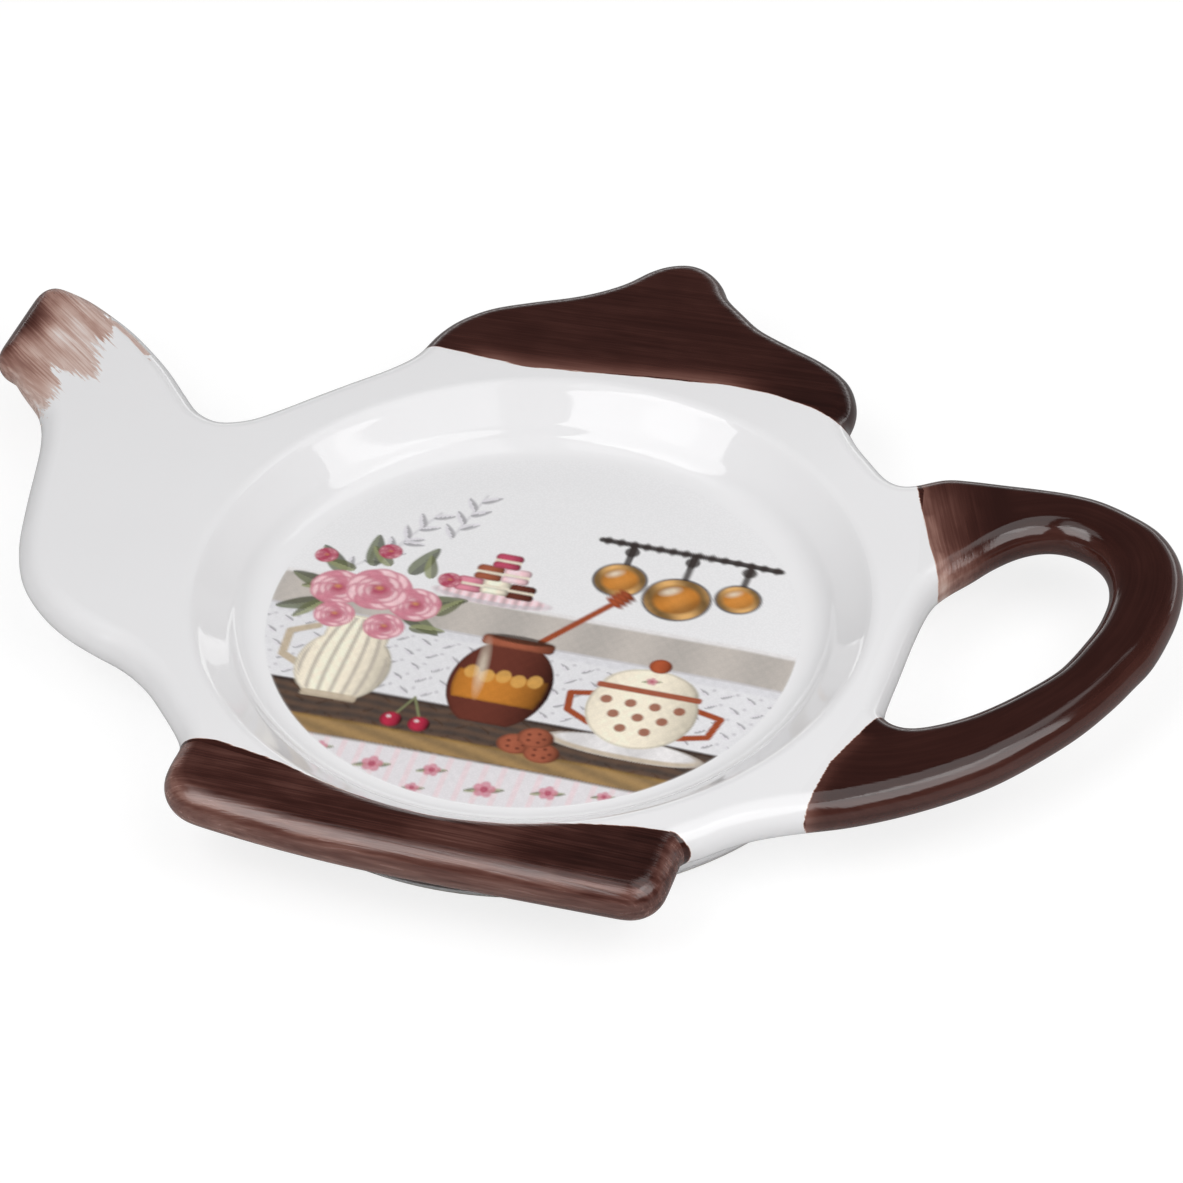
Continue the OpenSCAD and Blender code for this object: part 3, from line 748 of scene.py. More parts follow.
# The brown one is denser, and mirrors more
GLAZE_IOR = {"White glaze": 1.48, "Spout glaze": 1.48, "Brown glaze": 1.60, "Print glaze": 1.48}
# Roughness of the white glaze, what the brown and its brush marks add to it, and that of the print
GLAZE_ROUGH, BROWN_ROUGH, MARK_ROUGH, PRINT_ROUGH = 0.045, 0.04, 0.5, 0.06
SPECK_STRENGTH = 0.8
# How fast the extra fade of a thin coat ends as the coat grows
THIN_END = 1.5
# Share of fine grain in the brush marks, the rest being wide patches
GRAIN_SHARE, PATCH_SHARE = 0.6, 0.4
# How wide the brown's edge is, in millimetres, and what its raggedness adds
EDGE_WIDTH, EDGE_SPREAD = 0.15, 0.15
# Bumps: strength, and height in metres
WAVE_BUMP, MARK_BUMP = (0.3, 0.25 * MM), (0.5, 0.06 * MM)
# Halftone dots of the print: dots in a metre, and the lightness in their middle and between them
SCREEN_SCALE, SCREEN_DOT, SCREEN_GAP = 4200.0, 1.01, 0.97
# Bare clay: strength of its grain and what glaze takes off it, the grain's height in metres, and
# the height in metres below which the foot is wiped bare
GRIT, GRIT_GLAZED, GRIT_HEIGHT, BARE_BELOW = 0.5, 0.48, 0.2 * MM, 0.35 * MM


# Faint clouds: their scale in the glaze and in the bare clay, and how much darker they make them
GLAZE_CLOUDS, CLAY_CLOUDS, GLAZE_CLOUDED, CLAY_CLOUDED = 45.0, 120.0, 0.975, 0.86


def clouds(n, place, scale):
    """Soft patches, from 0 to 1."""
    return n.span(n.noise(place, scale), 0.3, 0.7)


def bumped(n, bump, height, **sockets):
    """The normal of a surface that a height raises."""
    strength, distance = bump
    return n.add("ShaderNodeBump", Strength=strength, Distance=distance, Height=height, **sockets).outputs[0]


def speckled(n, skin, base, colours):
    """A colour with the glaze's dark specks in it."""
    return n.mix(n.scaled(skin["Specks"], SPECK_STRENGTH), base, rgba(colours.speck))


def glazed(name, colours):
    """White glaze with brown brushed over it.

    paint: distance inside the brown, in mm. brush: the coat's thickness, how deep the brush marks
    go and how ragged the edge is. stroke: place along and across the brush's stroke, in mm."""
    if name in bpy.data.materials:
        return bpy.data.materials[name]
    mat, n = new_material(name)
    place = n.add("ShaderNodeTexCoord").outputs["Object"]
    skin = n.grouped(glaze_skin(), Vector=place)
    marks = n.grouped(brush_marks(), Stroke=n.attribute("stroke")["Vector"])
    coat, depth, rag = n.parts(n.attribute("brush")["Vector"])
    inside = n.math("ADD", n.attribute("paint")["Fac"], n.scaled(marks["Rag"], rag))
    cover = n.span(inside, 0.0, n.math("ADD", n.scaled(rag, EDGE_SPREAD), EDGE_WIDTH))
    worn = n.math("ADD", n.scaled(marks["Grain"], GRAIN_SHARE), n.scaled(marks["Patches"], PATCH_SHARE))
    marked = n.scaled(worn, depth)
    left = n.math("MAXIMUM", n.math("SUBTRACT", 1.0, marked), 0.0)
    thick = n.scaled(n.scaled(coat, left), cover)
    cloud = n.scaled(clouds(n, place, GLAZE_CLOUDS), 0.5)
    white = n.mix(cloud, rgba(colours.white), rgba([c * GLAZE_CLOUDED for c in colours.white]))
    brown = n.grouped(brown_coat(), Under=speckled(n, skin, white, colours), Coat=thick,
                      Fade=tuple(colours.fade), Thin_fade=tuple(colours.thin_fade))
    grain = n.scaled(n.scaled(marked, cover), 2.0)
    bump = bumped(n, MARK_BUMP, grain, Normal=bumped(n, WAVE_BUMP, skin["Height"]))
    dull = n.math("ADD", n.scaled(marked, MARK_ROUGH), BROWN_ROUGH)
    rough = n.math("ADD", n.scaled(cover, dull), GLAZE_ROUGH)
    shader = n.add("ShaderNodeBsdfPrincipled", Base_Color=brown[0], Roughness=rough, IOR=GLAZE_IOR[name],
                   Normal=bump)
    finish_material(n, shader.outputs[0])
    return mat


def printed(colours):
    """White glaze with the picture's colours fired into it."""
    name = "Print glaze"
    mat, n = new_material(name)
    place = n.add("ShaderNodeTexCoord").outputs["Object"]
    skin = n.grouped(glaze_skin(), Vector=place)
    dots = n.add("ShaderNodeTexVoronoi", Vector=place, Scale=SCREEN_SCALE)
    screen = n.span(dots.outputs["Distance"], 0.2, 0.7, SCREEN_DOT, SCREEN_GAP)
    grey = n.add("ShaderNodeCombineColor", Red=screen, Green=screen, Blue=screen).outputs[0]
    toned = n.mix(1.0, n.attribute("ink")["Color"], grey, "MULTIPLY")
    shader = n.add("ShaderNodeBsdfPrincipled", Base_Color=speckled(n, skin, toned, colours),
                   Roughness=PRINT_ROUGH, IOR=GLAZE_IOR[name], Normal=bumped(n, WAVE_BUMP, skin["Height"]))
    finish_material(n, shader.outputs[0])
    return mat


def foot_clay(colours, bare):
    """Glaze down the outside of the foot, wiped off to bare clay below a height in metres."""
    mat, n = new_material("Bare clay")
    place = n.add("ShaderNodeTexCoord").outputs["Object"]
    grit = n.noise(place, 1400.0, 6.0, 0.7)
    clay = n.mix(clouds(n, place, CLAY_CLOUDS), rgba(colours.clay),
                 rgba([c * CLAY_CLOUDED for c in colours.clay]))
    edge = n.math("ADD", n.parts(place)[2], n.scaled(n.math("SUBTRACT", grit, 0.5), 0.3 * MM))
    glaze = n.span(edge, bare, bare + 0.15 * MM)
    base = n.mix(glaze, clay, rgba(colours.white))
    rough = n.span(glaze, 0.3, 0.7, 0.85, 0.06)
    strength = n.math("SUBTRACT", GRIT, n.scaled(glaze, GRIT_GLAZED))
    bump = bumped(n, (strength, GRIT_HEIGHT), grit)
    shader = n.add("ShaderNodeBsdfPrincipled", Base_Color=base, Roughness=rough, Normal=bump)
    finish_material(n, shader.outputs[0])
    return mat


# Brush work
PAINT_LINES = {
    "lid": [[-28, 37.1], [-22.8, 37], [-12, 36], [0, 37.5], [10, 38.7], [15, 38.5], [20, 37.3], [24.8, 35],
            [27, 33.4]],
    "handle top": [[40.6, 11], [39.6, 14.5], [37.5, 19], [35.4, 24], [33.6, 28.5], [32.6, 31]],
    "handle low": [[35.5, -27], [36, -23], [36.6, -17], [38.8, -10.5], [40.4, -6.5]],
    "plinth": [[-31, -30.6], [-27, -30.6], [-24, -30.3], [-18, -31.5], [-10, -33.7], [0, -35.2], [8, -34.4],
               [12, -33.2], [20, -31.6], [24.5, -31.2], [28, -31.8]],
}
# Where each line's brown lies: 1 on the left of its travel, -1 on the right
PAINT_SIDES = {"lid": 1, "handle top": -1, "handle low": -1, "plinth": -1}
# Beyond this distance from a line, in millimetres, nothing depends on it
PAINT_REACH = 20.0

# Direction of the strokes on the spout in degrees, and how far they reach: place across and along
TIP_TURN = -39.0
TIP_ENDS = [[-27, -57], [-25, -56.4], [-23.4, -57.2], [-22.2, -56.8], [-21.3, -60.5], [-20.7, -62],
            [-20, -59.6], [-19.1, -58], [-18.1, -56.6], [-16.6, -58.6], [-15.5, -61.2], [-14.3, -62.2],
            [-12.9, -61.8], [-11.5, -64.5], [-10.5, -66.5]]
# A stroke alone on the spout's upper edge, with half its width, and a blot with its spread
EDGE_STROKE, STROKE_HALF = [[-57.2, 32.0], [-54.4, 29.9], [-52.0, 27.7]], 0.45
TIP_BLOB, TIP_BLOB_R = (-66.2, 30.4), (2.2, 3.9)

# The brown coat's thickness, as the fades of the colours take it, and that of a wash
COAT, WASH = 3.45, 0.5
# How deep brush marks go where nothing else is said, and how ragged the edge is, in millimetres
PLAIN_MARKS, PLAIN_RAG = 0.22, 0.22
# What the coat loses at the outermost line of a piece's edge, and on its lower side
EDGE_LOSS, LOW_LOSS = 0.6, 1.1


def side_of(points, line):
    """Distance to an open line in the plan, above zero on its left."""
    line = np.asarray(line, float)
    best = np.full(len(points), 1e9)
    sign = np.ones(len(points))
    for p, q in zip(line, line[1:]):
        d = q - p
        t = np.clip(((points - p) @ d) / (d @ d), 0, 1)
        off = points - (p + t[:, None] * d)
        dist = np.hypot(off[:, 0], off[:, 1])
        near = dist < best
        best[near] = dist[near]
        sign[near] = np.sign(d[0] * off[near, 1] - d[1] * off[near, 0])
    return best * sign


def along_line(points, line):
    """Length along an open line at each point's nearest place, and the distance to its left."""
    s = np.r_[0, np.cumsum(np.linalg.norm(np.diff(line, axis=0), axis=1))]
    nearest = np.concatenate([np.argmin(((chunk[:, None] - line[None]) ** 2).sum(2), axis=1)
                              for chunk in np.array_split(points, max(1, len(points) // 2000))])
    t = np.gradient(line, axis=0)
    t /= np.linalg.norm(t, axis=1)[:, None]
    off = points - line[nearest]
    return s[nearest], t[nearest, 0] * off[:, 1] - t[nearest, 1] * off[:, 0]


def paint_distance(points):
    """Distance inside the brown, in millimetres, from the lines where the brush stopped."""
    p = points[:, :2]
    x, y = p.T
    out = np.full(len(p), -PAINT_REACH)
    where = {
        "lid": (y > 30) & (np.abs(x) < 27), "plinth": y < -27,
        "handle top": (x > 30) & (y > 2), "handle low": (x > 30) & (y <= 2),
    }
    for name, mask in where.items():
        if mask.any():
            out[mask] = np.maximum(out[mask], side_of(p[mask], PAINT_LINES[name]) * PAINT_SIDES[name])
    return np.clip(out, -PAINT_REACH, PAINT_REACH)


def bell(x, width):
    return np.exp(-(x / width) ** 2)


def ramp(x, low, high):
    t = np.clip((x - low) / (high - low), 0, 1)
    return t * t * (3 - 2 * t)


class Place:
    """Points of a piece in millimetres, and how they lie to its edge and to the lines of the brush."""

    def __init__(self, plan, points):
        self.points = points
        self.x, self.y, self.z = points.T
        self.inside = paint_distance(points)
        self.above = self.z > plan.mid
        self.upright = np.sqrt(np.clip(1 - ((self.z - plan.mid) / plan.r) ** 2, 0, 1))
        # The coat runs thin at the edge's outermost line and on its lower side
        low_side = ramp(plan.mid - self.z, 0, 0.6 * plan.r)
        self.lost = EDGE_LOSS * ramp(self.upright, 0.86, 1.0) + LOW_LOSS * low_side


# Each of these gives a piece's distance inside the brown, its coat, how deep the brush marks go, how
# ragged the edge is, and its place along and across the strokes. Lengths are in millimetres, and
# upright runs from 0 on the flat top to 1 at the outermost line of the edge
def brush_lid(plan, p):
    """A thin fringe along the rim, and a thicker coat to the right."""
    fringe = bell(p.inside, 1.9) * ramp(p.x, -22, -14) * ramp(p.x, 17, 9)
    coat = COAT - 1.85 * fringe - p.lost + 0.5 * ramp(p.x, 10, 20)
    rag = 0.18 + 0.25 * fringe
    return p.inside, coat, PLAIN_MARKS, rag, (p.x + 0.15 * p.y, p.y - 0.05 * p.x)


def brush_plinth(plan, p):
    """Deep strokes along it, drained from the nose, and a darker band above it that is a painted dark
    reflection.
    """
    # A thicker coat darkens a band where the flat turns into the nose: a painted dark reflection
    dark_reflection_band = 0.7 * bell(p.upright - 0.22, 0.13)
    drained = 0.95 * bell(p.upright - 0.72, 0.2) * p.above
    coat = COAT - 0.5 + dark_reflection_band - drained + 0.5 * ramp(p.x, 8, 20) - 0.3 * ramp(p.x, 0, -20) - p.lost
    coat -= 0.4 * bell(p.inside, 0.8)
    return p.inside, coat, 0.38 + 0.14 * ramp(p.upright, 0.2, 0.6), PLAIN_RAG, (p.x, p.y + 0.02 * p.x)


def brush_handle(plan, p):
    """Strokes round the loop, and across it in a thin wedge beside the rim at its top."""
    s, across = along_line(p.points[:, :2], (plan.bar[:, :2] + plan.bar[:, 2:]) / 2)
    top, low = p.y > 5, p.y < -12
    wedge = ramp(p.inside, 7.5, 0.5) * top * (0.55 + 0.45 * ramp(p.y, 29, 22))
    drained = 0.7 * bell(p.upright - 0.8, 0.2) * p.above
    top_end = 0.9 * bell(p.inside - 0.6, 0.8) * top
    low_end = 1.2 * (bell(p.inside, 1.1) * low)
    coat = COAT + 0.1 - 1.3 * wedge - top_end - low_end - drained - p.lost
    # The strokes across end this far inside the brown, and the marks fade out there
    meeting = 8.5
    depth = (0.14 + 0.3 * wedge) * (1 - bell(p.inside - meeting, 1.2) * top)
    crossing = top & (p.inside < meeting)
    stroke = np.where(crossing, across, s), np.where(crossing, p.inside + 50, across)
    return p.inside, coat, depth, PLAIN_RAG, stroke


def brush_spout(plan, p):
    """A ragged wash over the tip, darker along the mouth, in a blot and in two streaks."""
    a = math.radians(TIP_TURN)
    along, across = p.x * math.cos(a) + p.y * math.sin(a), -p.x * math.sin(a) + p.y * math.cos(a)
    ends = np.array(TIP_ENDS)
    inside = np.interp(across, ends[:, 0], ends[:, 1]) - along
    low, top = plan.mouth
    # The brown gathers along a line beside the mouth's edge
    beside = [low + [0.6, -3.5], low + [-1.2, 1], (low + top) / 2 + [-2.4, 0], top + [-1.6, -1.5],
              top + [1.2, 0.6]]
    lip = side_of(p.points[:, :2], beside)
    dark = bell(np.minimum(lip, 0), 1.0) * ramp(p.y, low[1] - 3, low[1] + 4)
    blob = np.exp(-((p.x - TIP_BLOB[0]) / TIP_BLOB_R[0]) ** 2 - ((p.y - TIP_BLOB[1]) / TIP_BLOB_R[1]) ** 2)
    streak = 0.5 * bell(across + 22.4, 1.0) * ramp(along, -58, -62) + 0.3 * bell(across + 13.4, 0.8)
    coat = WASH + 1.2 * dark + 2.3 * blob + streak + 0.2 * ramp(inside, 1, 6)
    depth = 0.95 - 0.6 * np.clip(dark + blob, 0, 1)
    apart = STROKE_HALF - np.abs(side_of(p.points[:, :2], EDGE_STROKE))
    return np.maximum(inside, apart), coat, depth, np.where(apart > -0.6, 0.25, 5.5), (along, across)


def brush_plain(plan, p):
    """The white pieces, where the brown of a neighbour runs over the seam."""
    return p.inside, COAT, PLAIN_MARKS, PLAIN_RAG, (p.x, p.y)


BRUSHES = {"lid": brush_lid, "plinth": brush_plinth, "handle": brush_handle, "spout": brush_spout}


def brushed(plan, name, points):
    """The paint, brush and stroke attributes of a piece, for the glaze's shader."""
    inside, *brush, stroke = BRUSHES.get(name, brush_plain)(plan, Place(plan, points))
    brush = np.stack([np.broadcast_to(value, len(points)) for value in brush], 1)
    return {"paint": inside, "brush": brush, "stroke": np.c_[stroke[0], stroke[1], points[:, 2]]}


def store(mesh, values):
    for name, value in values.items():
        flat = value.ndim == 1
        attribute = mesh.attributes.new(name, "FLOAT" if flat else "FLOAT_VECTOR", "POINT")
        attribute.data.foreach_set("value" if flat else "vector", value.astype(np.float32).ravel())


# Picture
INK = {
    # The cloth ink below is a grey pink that is partly painted shade, where the well's front wall shades the
    # floor
    "paper": (232, 229, 229), "grey": (196, 193, 198), "pale": (222, 221, 225), "shaded cloth": (214, 206, 211),
    "sage": (178, 168, 158), "leaf": (128, 132, 96), "dark leaf": (92, 98, 72), "table": (70, 46, 26),
    "front": (148, 116, 66), "edge": (44, 28, 20), "cream": (236, 226, 206), "shade": (196, 180, 158),
    "rose": (205, 130, 146), "deep rose": (176, 72, 96), "blush": (238, 200, 205), "cocoa": (92, 46, 36),
    "amber": (176, 112, 44), "honey": (222, 170, 92), "copper": (188, 146, 92), "iron": (58, 50, 48),
    "biscuit": (150, 84, 62), "berry": (158, 40, 62), "knob": (160, 78, 48),
}
# Seed of the picture's random draws, and the waves of its uneven wash: how many, their lengths'
# range in radians per millimetre, and how much lighter they make an ink
PICTURE_SEED, WASH_WAVES, WASH_RANGE, WASH_DEPTH = 7, 5, (1.5, 6.0), 0.10
# Lightest that an ink prints
INK_LIMIT = 0.95
# Half the width of the picture's bands, beyond the disc on both sides
BAND = 40


def linear(c):
    """Light of a colour that is given in levels of 0 to 255."""
    c = np.asarray(c, float) / 255
    return np.where(c <= 0.04045, c / 12.92, ((c + 0.055) / 1.055) ** 2.4)


class Picture:
    """Colours painted over the points of a disc, in millimetres from its middle."""

    def __init__(self, x, y, paper):
        self.x, self.y = x, y
        self.rgb = np.tile(np.asarray(paper, float), (len(x), 1))
        self.random = np.random.default_rng(PICTURE_SEED)
        waves = self.random.uniform(*WASH_RANGE, (WASH_WAVES, 4))
        self.wash = sum(np.sin(x * a + b) * np.sin(y * c + d) for a, b, c, d in waves) / WASH_WAVES

    def turned(self, x, y, angle):
        a = math.radians(angle)
        dx, dy = self.x - x, self.y - y
        return dx * math.cos(a) + dy * math.sin(a), -dx * math.sin(a) + dy * math.cos(a)

    # Forms: the distance of every point to a form's edge, below zero inside it
    def oval(self, x, y, rx, ry, angle=0.0):
        u, v = self.turned(x, y, angle)
        return (np.hypot(u / rx, v / ry) - 1) * min(rx, ry)

    def box(self, x, y, hx, hy, corner=0.0):
        u, v = np.abs(self.x - x) - hx + corner, np.abs(self.y - y) - hy + corner
        return np.hypot(np.maximum(u, 0), np.maximum(v, 0)) + np.minimum(np.maximum(u, v), 0) - corner

    def line(self, points, width):
        best = np.full(len(self.x), 99.0)
        p = np.stack([self.x, self.y], 1)
        for a, b in zip(np.array(points, float), np.array(points[1:], float)):
            d = b - a
            t = np.clip(((p - a) @ d) / (d @ d), 0, 1)
            best = np.minimum(best, np.hypot(*(p - a - t[:, None] * d).T))
        return best - width / 2

    def lay(self, distance, ink, strength=1.0, soft=0.12, shade=0):
        """Lays an ink where the distance is below zero. shade: lightness added across the form."""
        cover = np.clip(0.5 - distance / (2 * soft), 0, 1) * strength
        tone = 1 + WASH_DEPTH * self.wash + shade
        self.rgb += cover[:, None] * (np.clip(linear(INK[ink]) * tone[:, None], 0, INK_LIMIT) - self.rgb)

    def round_form(self, distance, ink, x, half, depth=0.5):
        """A form that turns away at both sides and catches light left of its middle."""
        u = (self.x - x) / half
        self.lay(distance, ink, shade=depth * (0.55 - (u + 0.25) ** 2 * 1.1))
        self.lay(np.maximum(distance, -distance - 0.22), "edge", 0.28)

    def leaf(self, x, y, size, angle, ink="leaf"):
        u, v = self.turned(x, y, angle)
        blade = np.abs(v) - 0.36 * size * np.sqrt(np.clip(1 - (u / size) ** 2, 0, 1)) * (1 - 0.35 * u / size)
        self.lay(np.where(np.abs(u) < size, blade, 9.0), ink, 0.85, shade=0.35 * np.sign(v))

    def peony(self, x, y, size, ink="rose"):
        """Rings of petals round a deep heart."""
        for ring, count in ((0.72, 9), (0.46, 7), (0.24, 5)):
            for k in range(count):
                a = 360 * (k + 0.5 * ring + self.random.uniform(-0.15, 0.15)) / count
                px = x + size * ring * 0.75 * math.cos(math.radians(a))
                py = y + size * ring * 0.68 * math.sin(math.radians(a))
                long, wide = (size * share * (0.6 + ring * 0.6) for share in (0.40, 0.30))
                petal = self.oval(px, py, long, wide, a + 90)
                self.lay(petal + 0.1, "blush" if (k + count) % 3 else ink, 0.9, shade=0.25 * (ring - 0.4))
                self.lay(np.maximum(petal, -petal - 0.28), ink, 0.75)
        self.lay(self.oval(x, y, size * 0.24, size * 0.2), "deep rose", 0.8, 0.3)
        self.lay(self.oval(x, y + size * 0.05, size * 0.09, size * 0.07), "honey", 0.6, 0.2)

    def spray(self, x, y, size):
        """A small flower with two leaves, as on printed cotton."""
        self.leaf(x - size * 0.9, y - size * 0.3, size * 0.6, 200)
        self.leaf(x + size * 0.9, y + size * 0.1, size * 0.6, 20)
        for k in range(5):
            a = math.radians(72 * k + 18)
            px, py = x + 0.5 * size * math.cos(a), y + 0.5 * size * math.sin(a)
            self.lay(self.oval(px, py, size * 0.36, size * 0.36), "rose", 0.8)
        self.lay(self.oval(x, y, size * 0.3, size * 0.3), "deep rose", 0.9)


def paint_wall(p):
    """Wall with a trellis of small grey leaves, a sage rail over it."""
    p.lay(np.maximum(p.y + 3.0, -p.y - 19.5), "pale", 0.5, 0.5)
    for j in range(8):
        for i in range(-12, 13):
            at_x, at_y = 2.5 * i + 1.25 * (j % 2), -5.2 - 1.95 * j
            p.leaf(at_x, at_y, 0.72, 35 if (i + j) % 2 else 145, "grey")
            p.lay(p.oval(at_x + 0.95, at_y + 0.55, 0.2, 0.2), "grey", 0.8)
    p.lay(p.box(0, -0.2, BAND, 2.7), "sage", 0.8, 0.25, 0.12 * np.sin(p.x * 0.7))
    p.lay(p.box(0, 2.5, BAND, 0.3), "paper", 0.9, 0.2)
    p.lay(p.box(0, -3.6, BAND, 0.5), "pale", 0.95, 0.2)
    p.lay(p.box(0, -2.9, BAND, 0.12), "grey", 0.9, 0.2)


def paint_twigs(p):
    """Faint leafy twigs at the upper left."""
    reach, leaves = 8, 6
    for at_x, at_y, turn in ((-18, 11, 66), (-12.5, 14.5, 78), (-21.5, 7.0, 50)):
        a = math.radians(turn)
        stem = [(at_x + reach * t * math.cos(a), at_y - 3 + reach * t * math.sin(a)) for t in (0, 0.5, 1)]
        p.lay(p.line(stem, 0.3), "grey", 0.5)
        for k in range(leaves):
            t, side = (k + 1) / (leaves + 0.5), 1 if k % 2 else -1
            on_x, on_y = at_x + reach * t * math.cos(a), at_y - 3 + reach * t * math.sin(a)
            p.leaf(on_x + 0.8 * side, on_y, 1.2, turn - 45 * side, "grey")


def paint_pans(p):
    """Copper pans on an iron rail at the upper right."""
    rail = 15.6
    p.lay(p.line([(3, rail), (22.5, rail)], 0.8), "iron", 0.95, shade=0.6 * np.sin(p.y * 8))
    for k in range(14):
        p.lay(p.oval(3.6 + 1.42 * k, rail, 0.42, 0.62), "iron", 0.8)
    for at_x, size, drop in ((6.6, 2.5, 9.7), (13.2, 3.2, 8.2), (19.4, 2.1, 9.9)):
        p.lay(p.line([(at_x, 15.4), (at_x, drop + size)], 0.75), "iron", 0.9)
        p.lay(p.oval(at_x, 14.4, 0.8, 0.8), "iron", 0.9)
        pan = p.oval(at_x, drop, size * 1.08, size)
        p.lay(pan - 0.25, "iron", 0.85)
        p.lay(pan, "copper", 1.0, shade=0.6 * np.cos((p.x - at_x) * 1.1 + (p.y - drop) * 0.8))
        glint = 0.5 * np.cos((p.x - at_x - p.y + drop) * 0.9)
        p.lay(p.oval(at_x, drop, size * 0.78, size * 0.72), "amber", 0.85, 0.25, glint)
        p.lay(p.oval(at_x - size * 0.3, drop + size * 0.35, size * 0.3, size * 0.16, 35), "cream", 0.8, 0.3)


def paint_cakes(p):
    """Cake stand with macarons on the shelf."""
    stand = p.oval(-5.5, 3.4, 6.2, 1.15)
    p.lay(stand, "blush", 0.9, shade=0.3 * np.sin(p.x * 5))
    p.lay(np.maximum(stand, -p.oval(-5.5, 3.8, 6.0, 0.95)), "grey", 0.7)
    for at_x, at_y, ink in ((-8.4, 4.9, "rose"), (-2.8, 4.9, "cocoa"), (-5.6, 5.1, "cream"),
                            (-6.9, 7.2, "biscuit"), (-4.0, 7.3, "blush"), (-5.5, 9.4, "deep rose")):
        p.round_form(p.box(at_x, at_y + 0.62, 1.5, 0.62, 0.6), ink, at_x, 1.6)
        p.lay(p.box(at_x, at_y, 1.45, 0.28, 0.2), "cream", 0.95)
        p.round_form(p.box(at_x, at_y - 0.62, 1.5, 0.5, 0.45), ink, at_x, 1.6)


def paint_table(p):
    """Table with its front edge, and a cotton cloth below it, partly greyed as painted shade of the well's
    front wall.
    """
    grain = 0.35 * np.sin(p.y * 5 + np.sin(p.x * 0.6)) + 0.1 * np.sin(p.x * 2.3)
    p.lay(p.box(0, -21.4, BAND, 2.6), "table", 0.95, 0.2, grain)
    p.lay(p.box(0, -18.9, BAND, 0.2), "edge", 0.8, 0.15)
    p.lay(p.box(0, -25.0, BAND, 1.3), "front", 0.95, 0.2, 0.2 * np.sin(p.x * 0.8 + p.y * 3))
    p.lay(p.box(0, -26.3, BAND, 0.16), "edge", 0.6, 0.15)
    # Grey pink over the print's lower edge: a cloth in the picture, and also painted shade of the well's
    # front wall
    p.lay(p.box(0, -30.6, BAND, 4.2), "shaded cloth", 0.5, 0.3)
    for k in range(-10, 11):
        p.lay(p.box(1.9 * k, -30.5, 0.3, 4.1), "blush", 0.4)
    for at_x, at_y, size in ((-15.6, -28.0, 1.0), (-9.6, -29.2, 1.35), (-3.4, -28.6, 1.1), (2.6, -30.0, 1.4),
                             (9.0, -28.8, 1.2), (14.6, -27.8, 0.9), (-4.6, -31.6, 0.9)):
        p.spray(at_x, at_y, size)


def paint_jug(p):
    """Striped jug of peonies."""
    mid, belly = -17.2, -15.6
    p.lay(p.line([(-21.6, -10.2), (-24.2, -11.6), (-23.9, -15.2), (-21.4, -16.6)], 0.9), "shade", 1.0)
    jug = np.minimum(p.oval(mid, belly, 5.0, 5.6), p.box(mid, -11, 3.4, 3.4, 0.8))
    jug = np.maximum(jug, -p.y - 20.6)
    p.round_form(jug, "cream", mid, 5.0, depth=0.35)
    swell = np.sqrt(np.clip(1 - ((p.y - belly) / 9.5) ** 2, 0, 1))
    for k in range(-3, 4):
        stripe = np.abs(p.x - mid - 1.45 * k * swell) - 0.22
        p.lay(np.maximum(stripe, jug + 0.4), "sage", 0.75)
    p.lay(p.box(mid, -20.4, 3.0, 0.5, 0.3), "shade", 0.9)
    for at_x, at_y, turn in ((-24.5, -3.2, 160), (-23.4, 0.6, 130), (-10.2, -3.2, 20), (-11.4, -7.2, -30),
                             (-19.5, 3.0, 100), (-14.0, 2.6, 70), (-24.6, -7.2, 200)):
        p.leaf(at_x, at_y, 2.6, turn, "dark leaf")
        p.leaf(at_x + 0.9, at_y - 0.7, 1.9, turn + 35)
    for at_x, at_y, size in ((-21.6, -3.8, 3.5), (-12.9, -4.4, 3.3), (-20.6, -8.0, 2.6), (-15.0, -8.6, 2.6),
                             (-17.3, -3.0, 4.2)):
        p.peony(at_x, at_y, size)
    for at_x, at_y in ((-24.4, 1.0), (-10.6, 0.4), (-18.0, 3.2)):
        p.peony(at_x, at_y, 1.5, "deep rose")


def paint_honey(p):
    """Honey pot with its dipper."""
    mid = -0.6
    p.lay(p.line([(1.6, -6.6), (6.8, 0.9)], 0.8), "knob", 1.0)
    pot = np.maximum(p.oval(mid, -14.2, 5.4, 7.0), np.abs(p.y + 14.0) - 6.4)
    p.round_form(pot, "cocoa", mid, 5.4, depth=0.7)
    p.round_form(np.maximum(pot + 0.5, np.abs(p.y + 14.9) - 2.2), "amber", mid, 5.2, depth=0.7)
    for k in range(5):
        p.lay(p.oval(-4.0 + 1.7 * k, -12.9 - 0.35 * (k % 2), 0.8, 1.0), "honey", 0.8)
    p.round_form(p.box(mid, -7.6, 3.9, 0.8, 0.6), "biscuit", mid, 3.9)
    p.lay(p.oval(mid, -6.9, 3.4, 0.6), "edge", 0.8)
    p.lay(p.oval(-3.2, -12.0, 0.5, 3.2, 8), "cream", 0.6, 0.35)
    for k in range(4):
        p.round_form(p.oval(7.1 + 0.32 * k, 1.4 + 0.5 * k, 1.15, 0.4, -34), "knob", 7.1, 2.0)


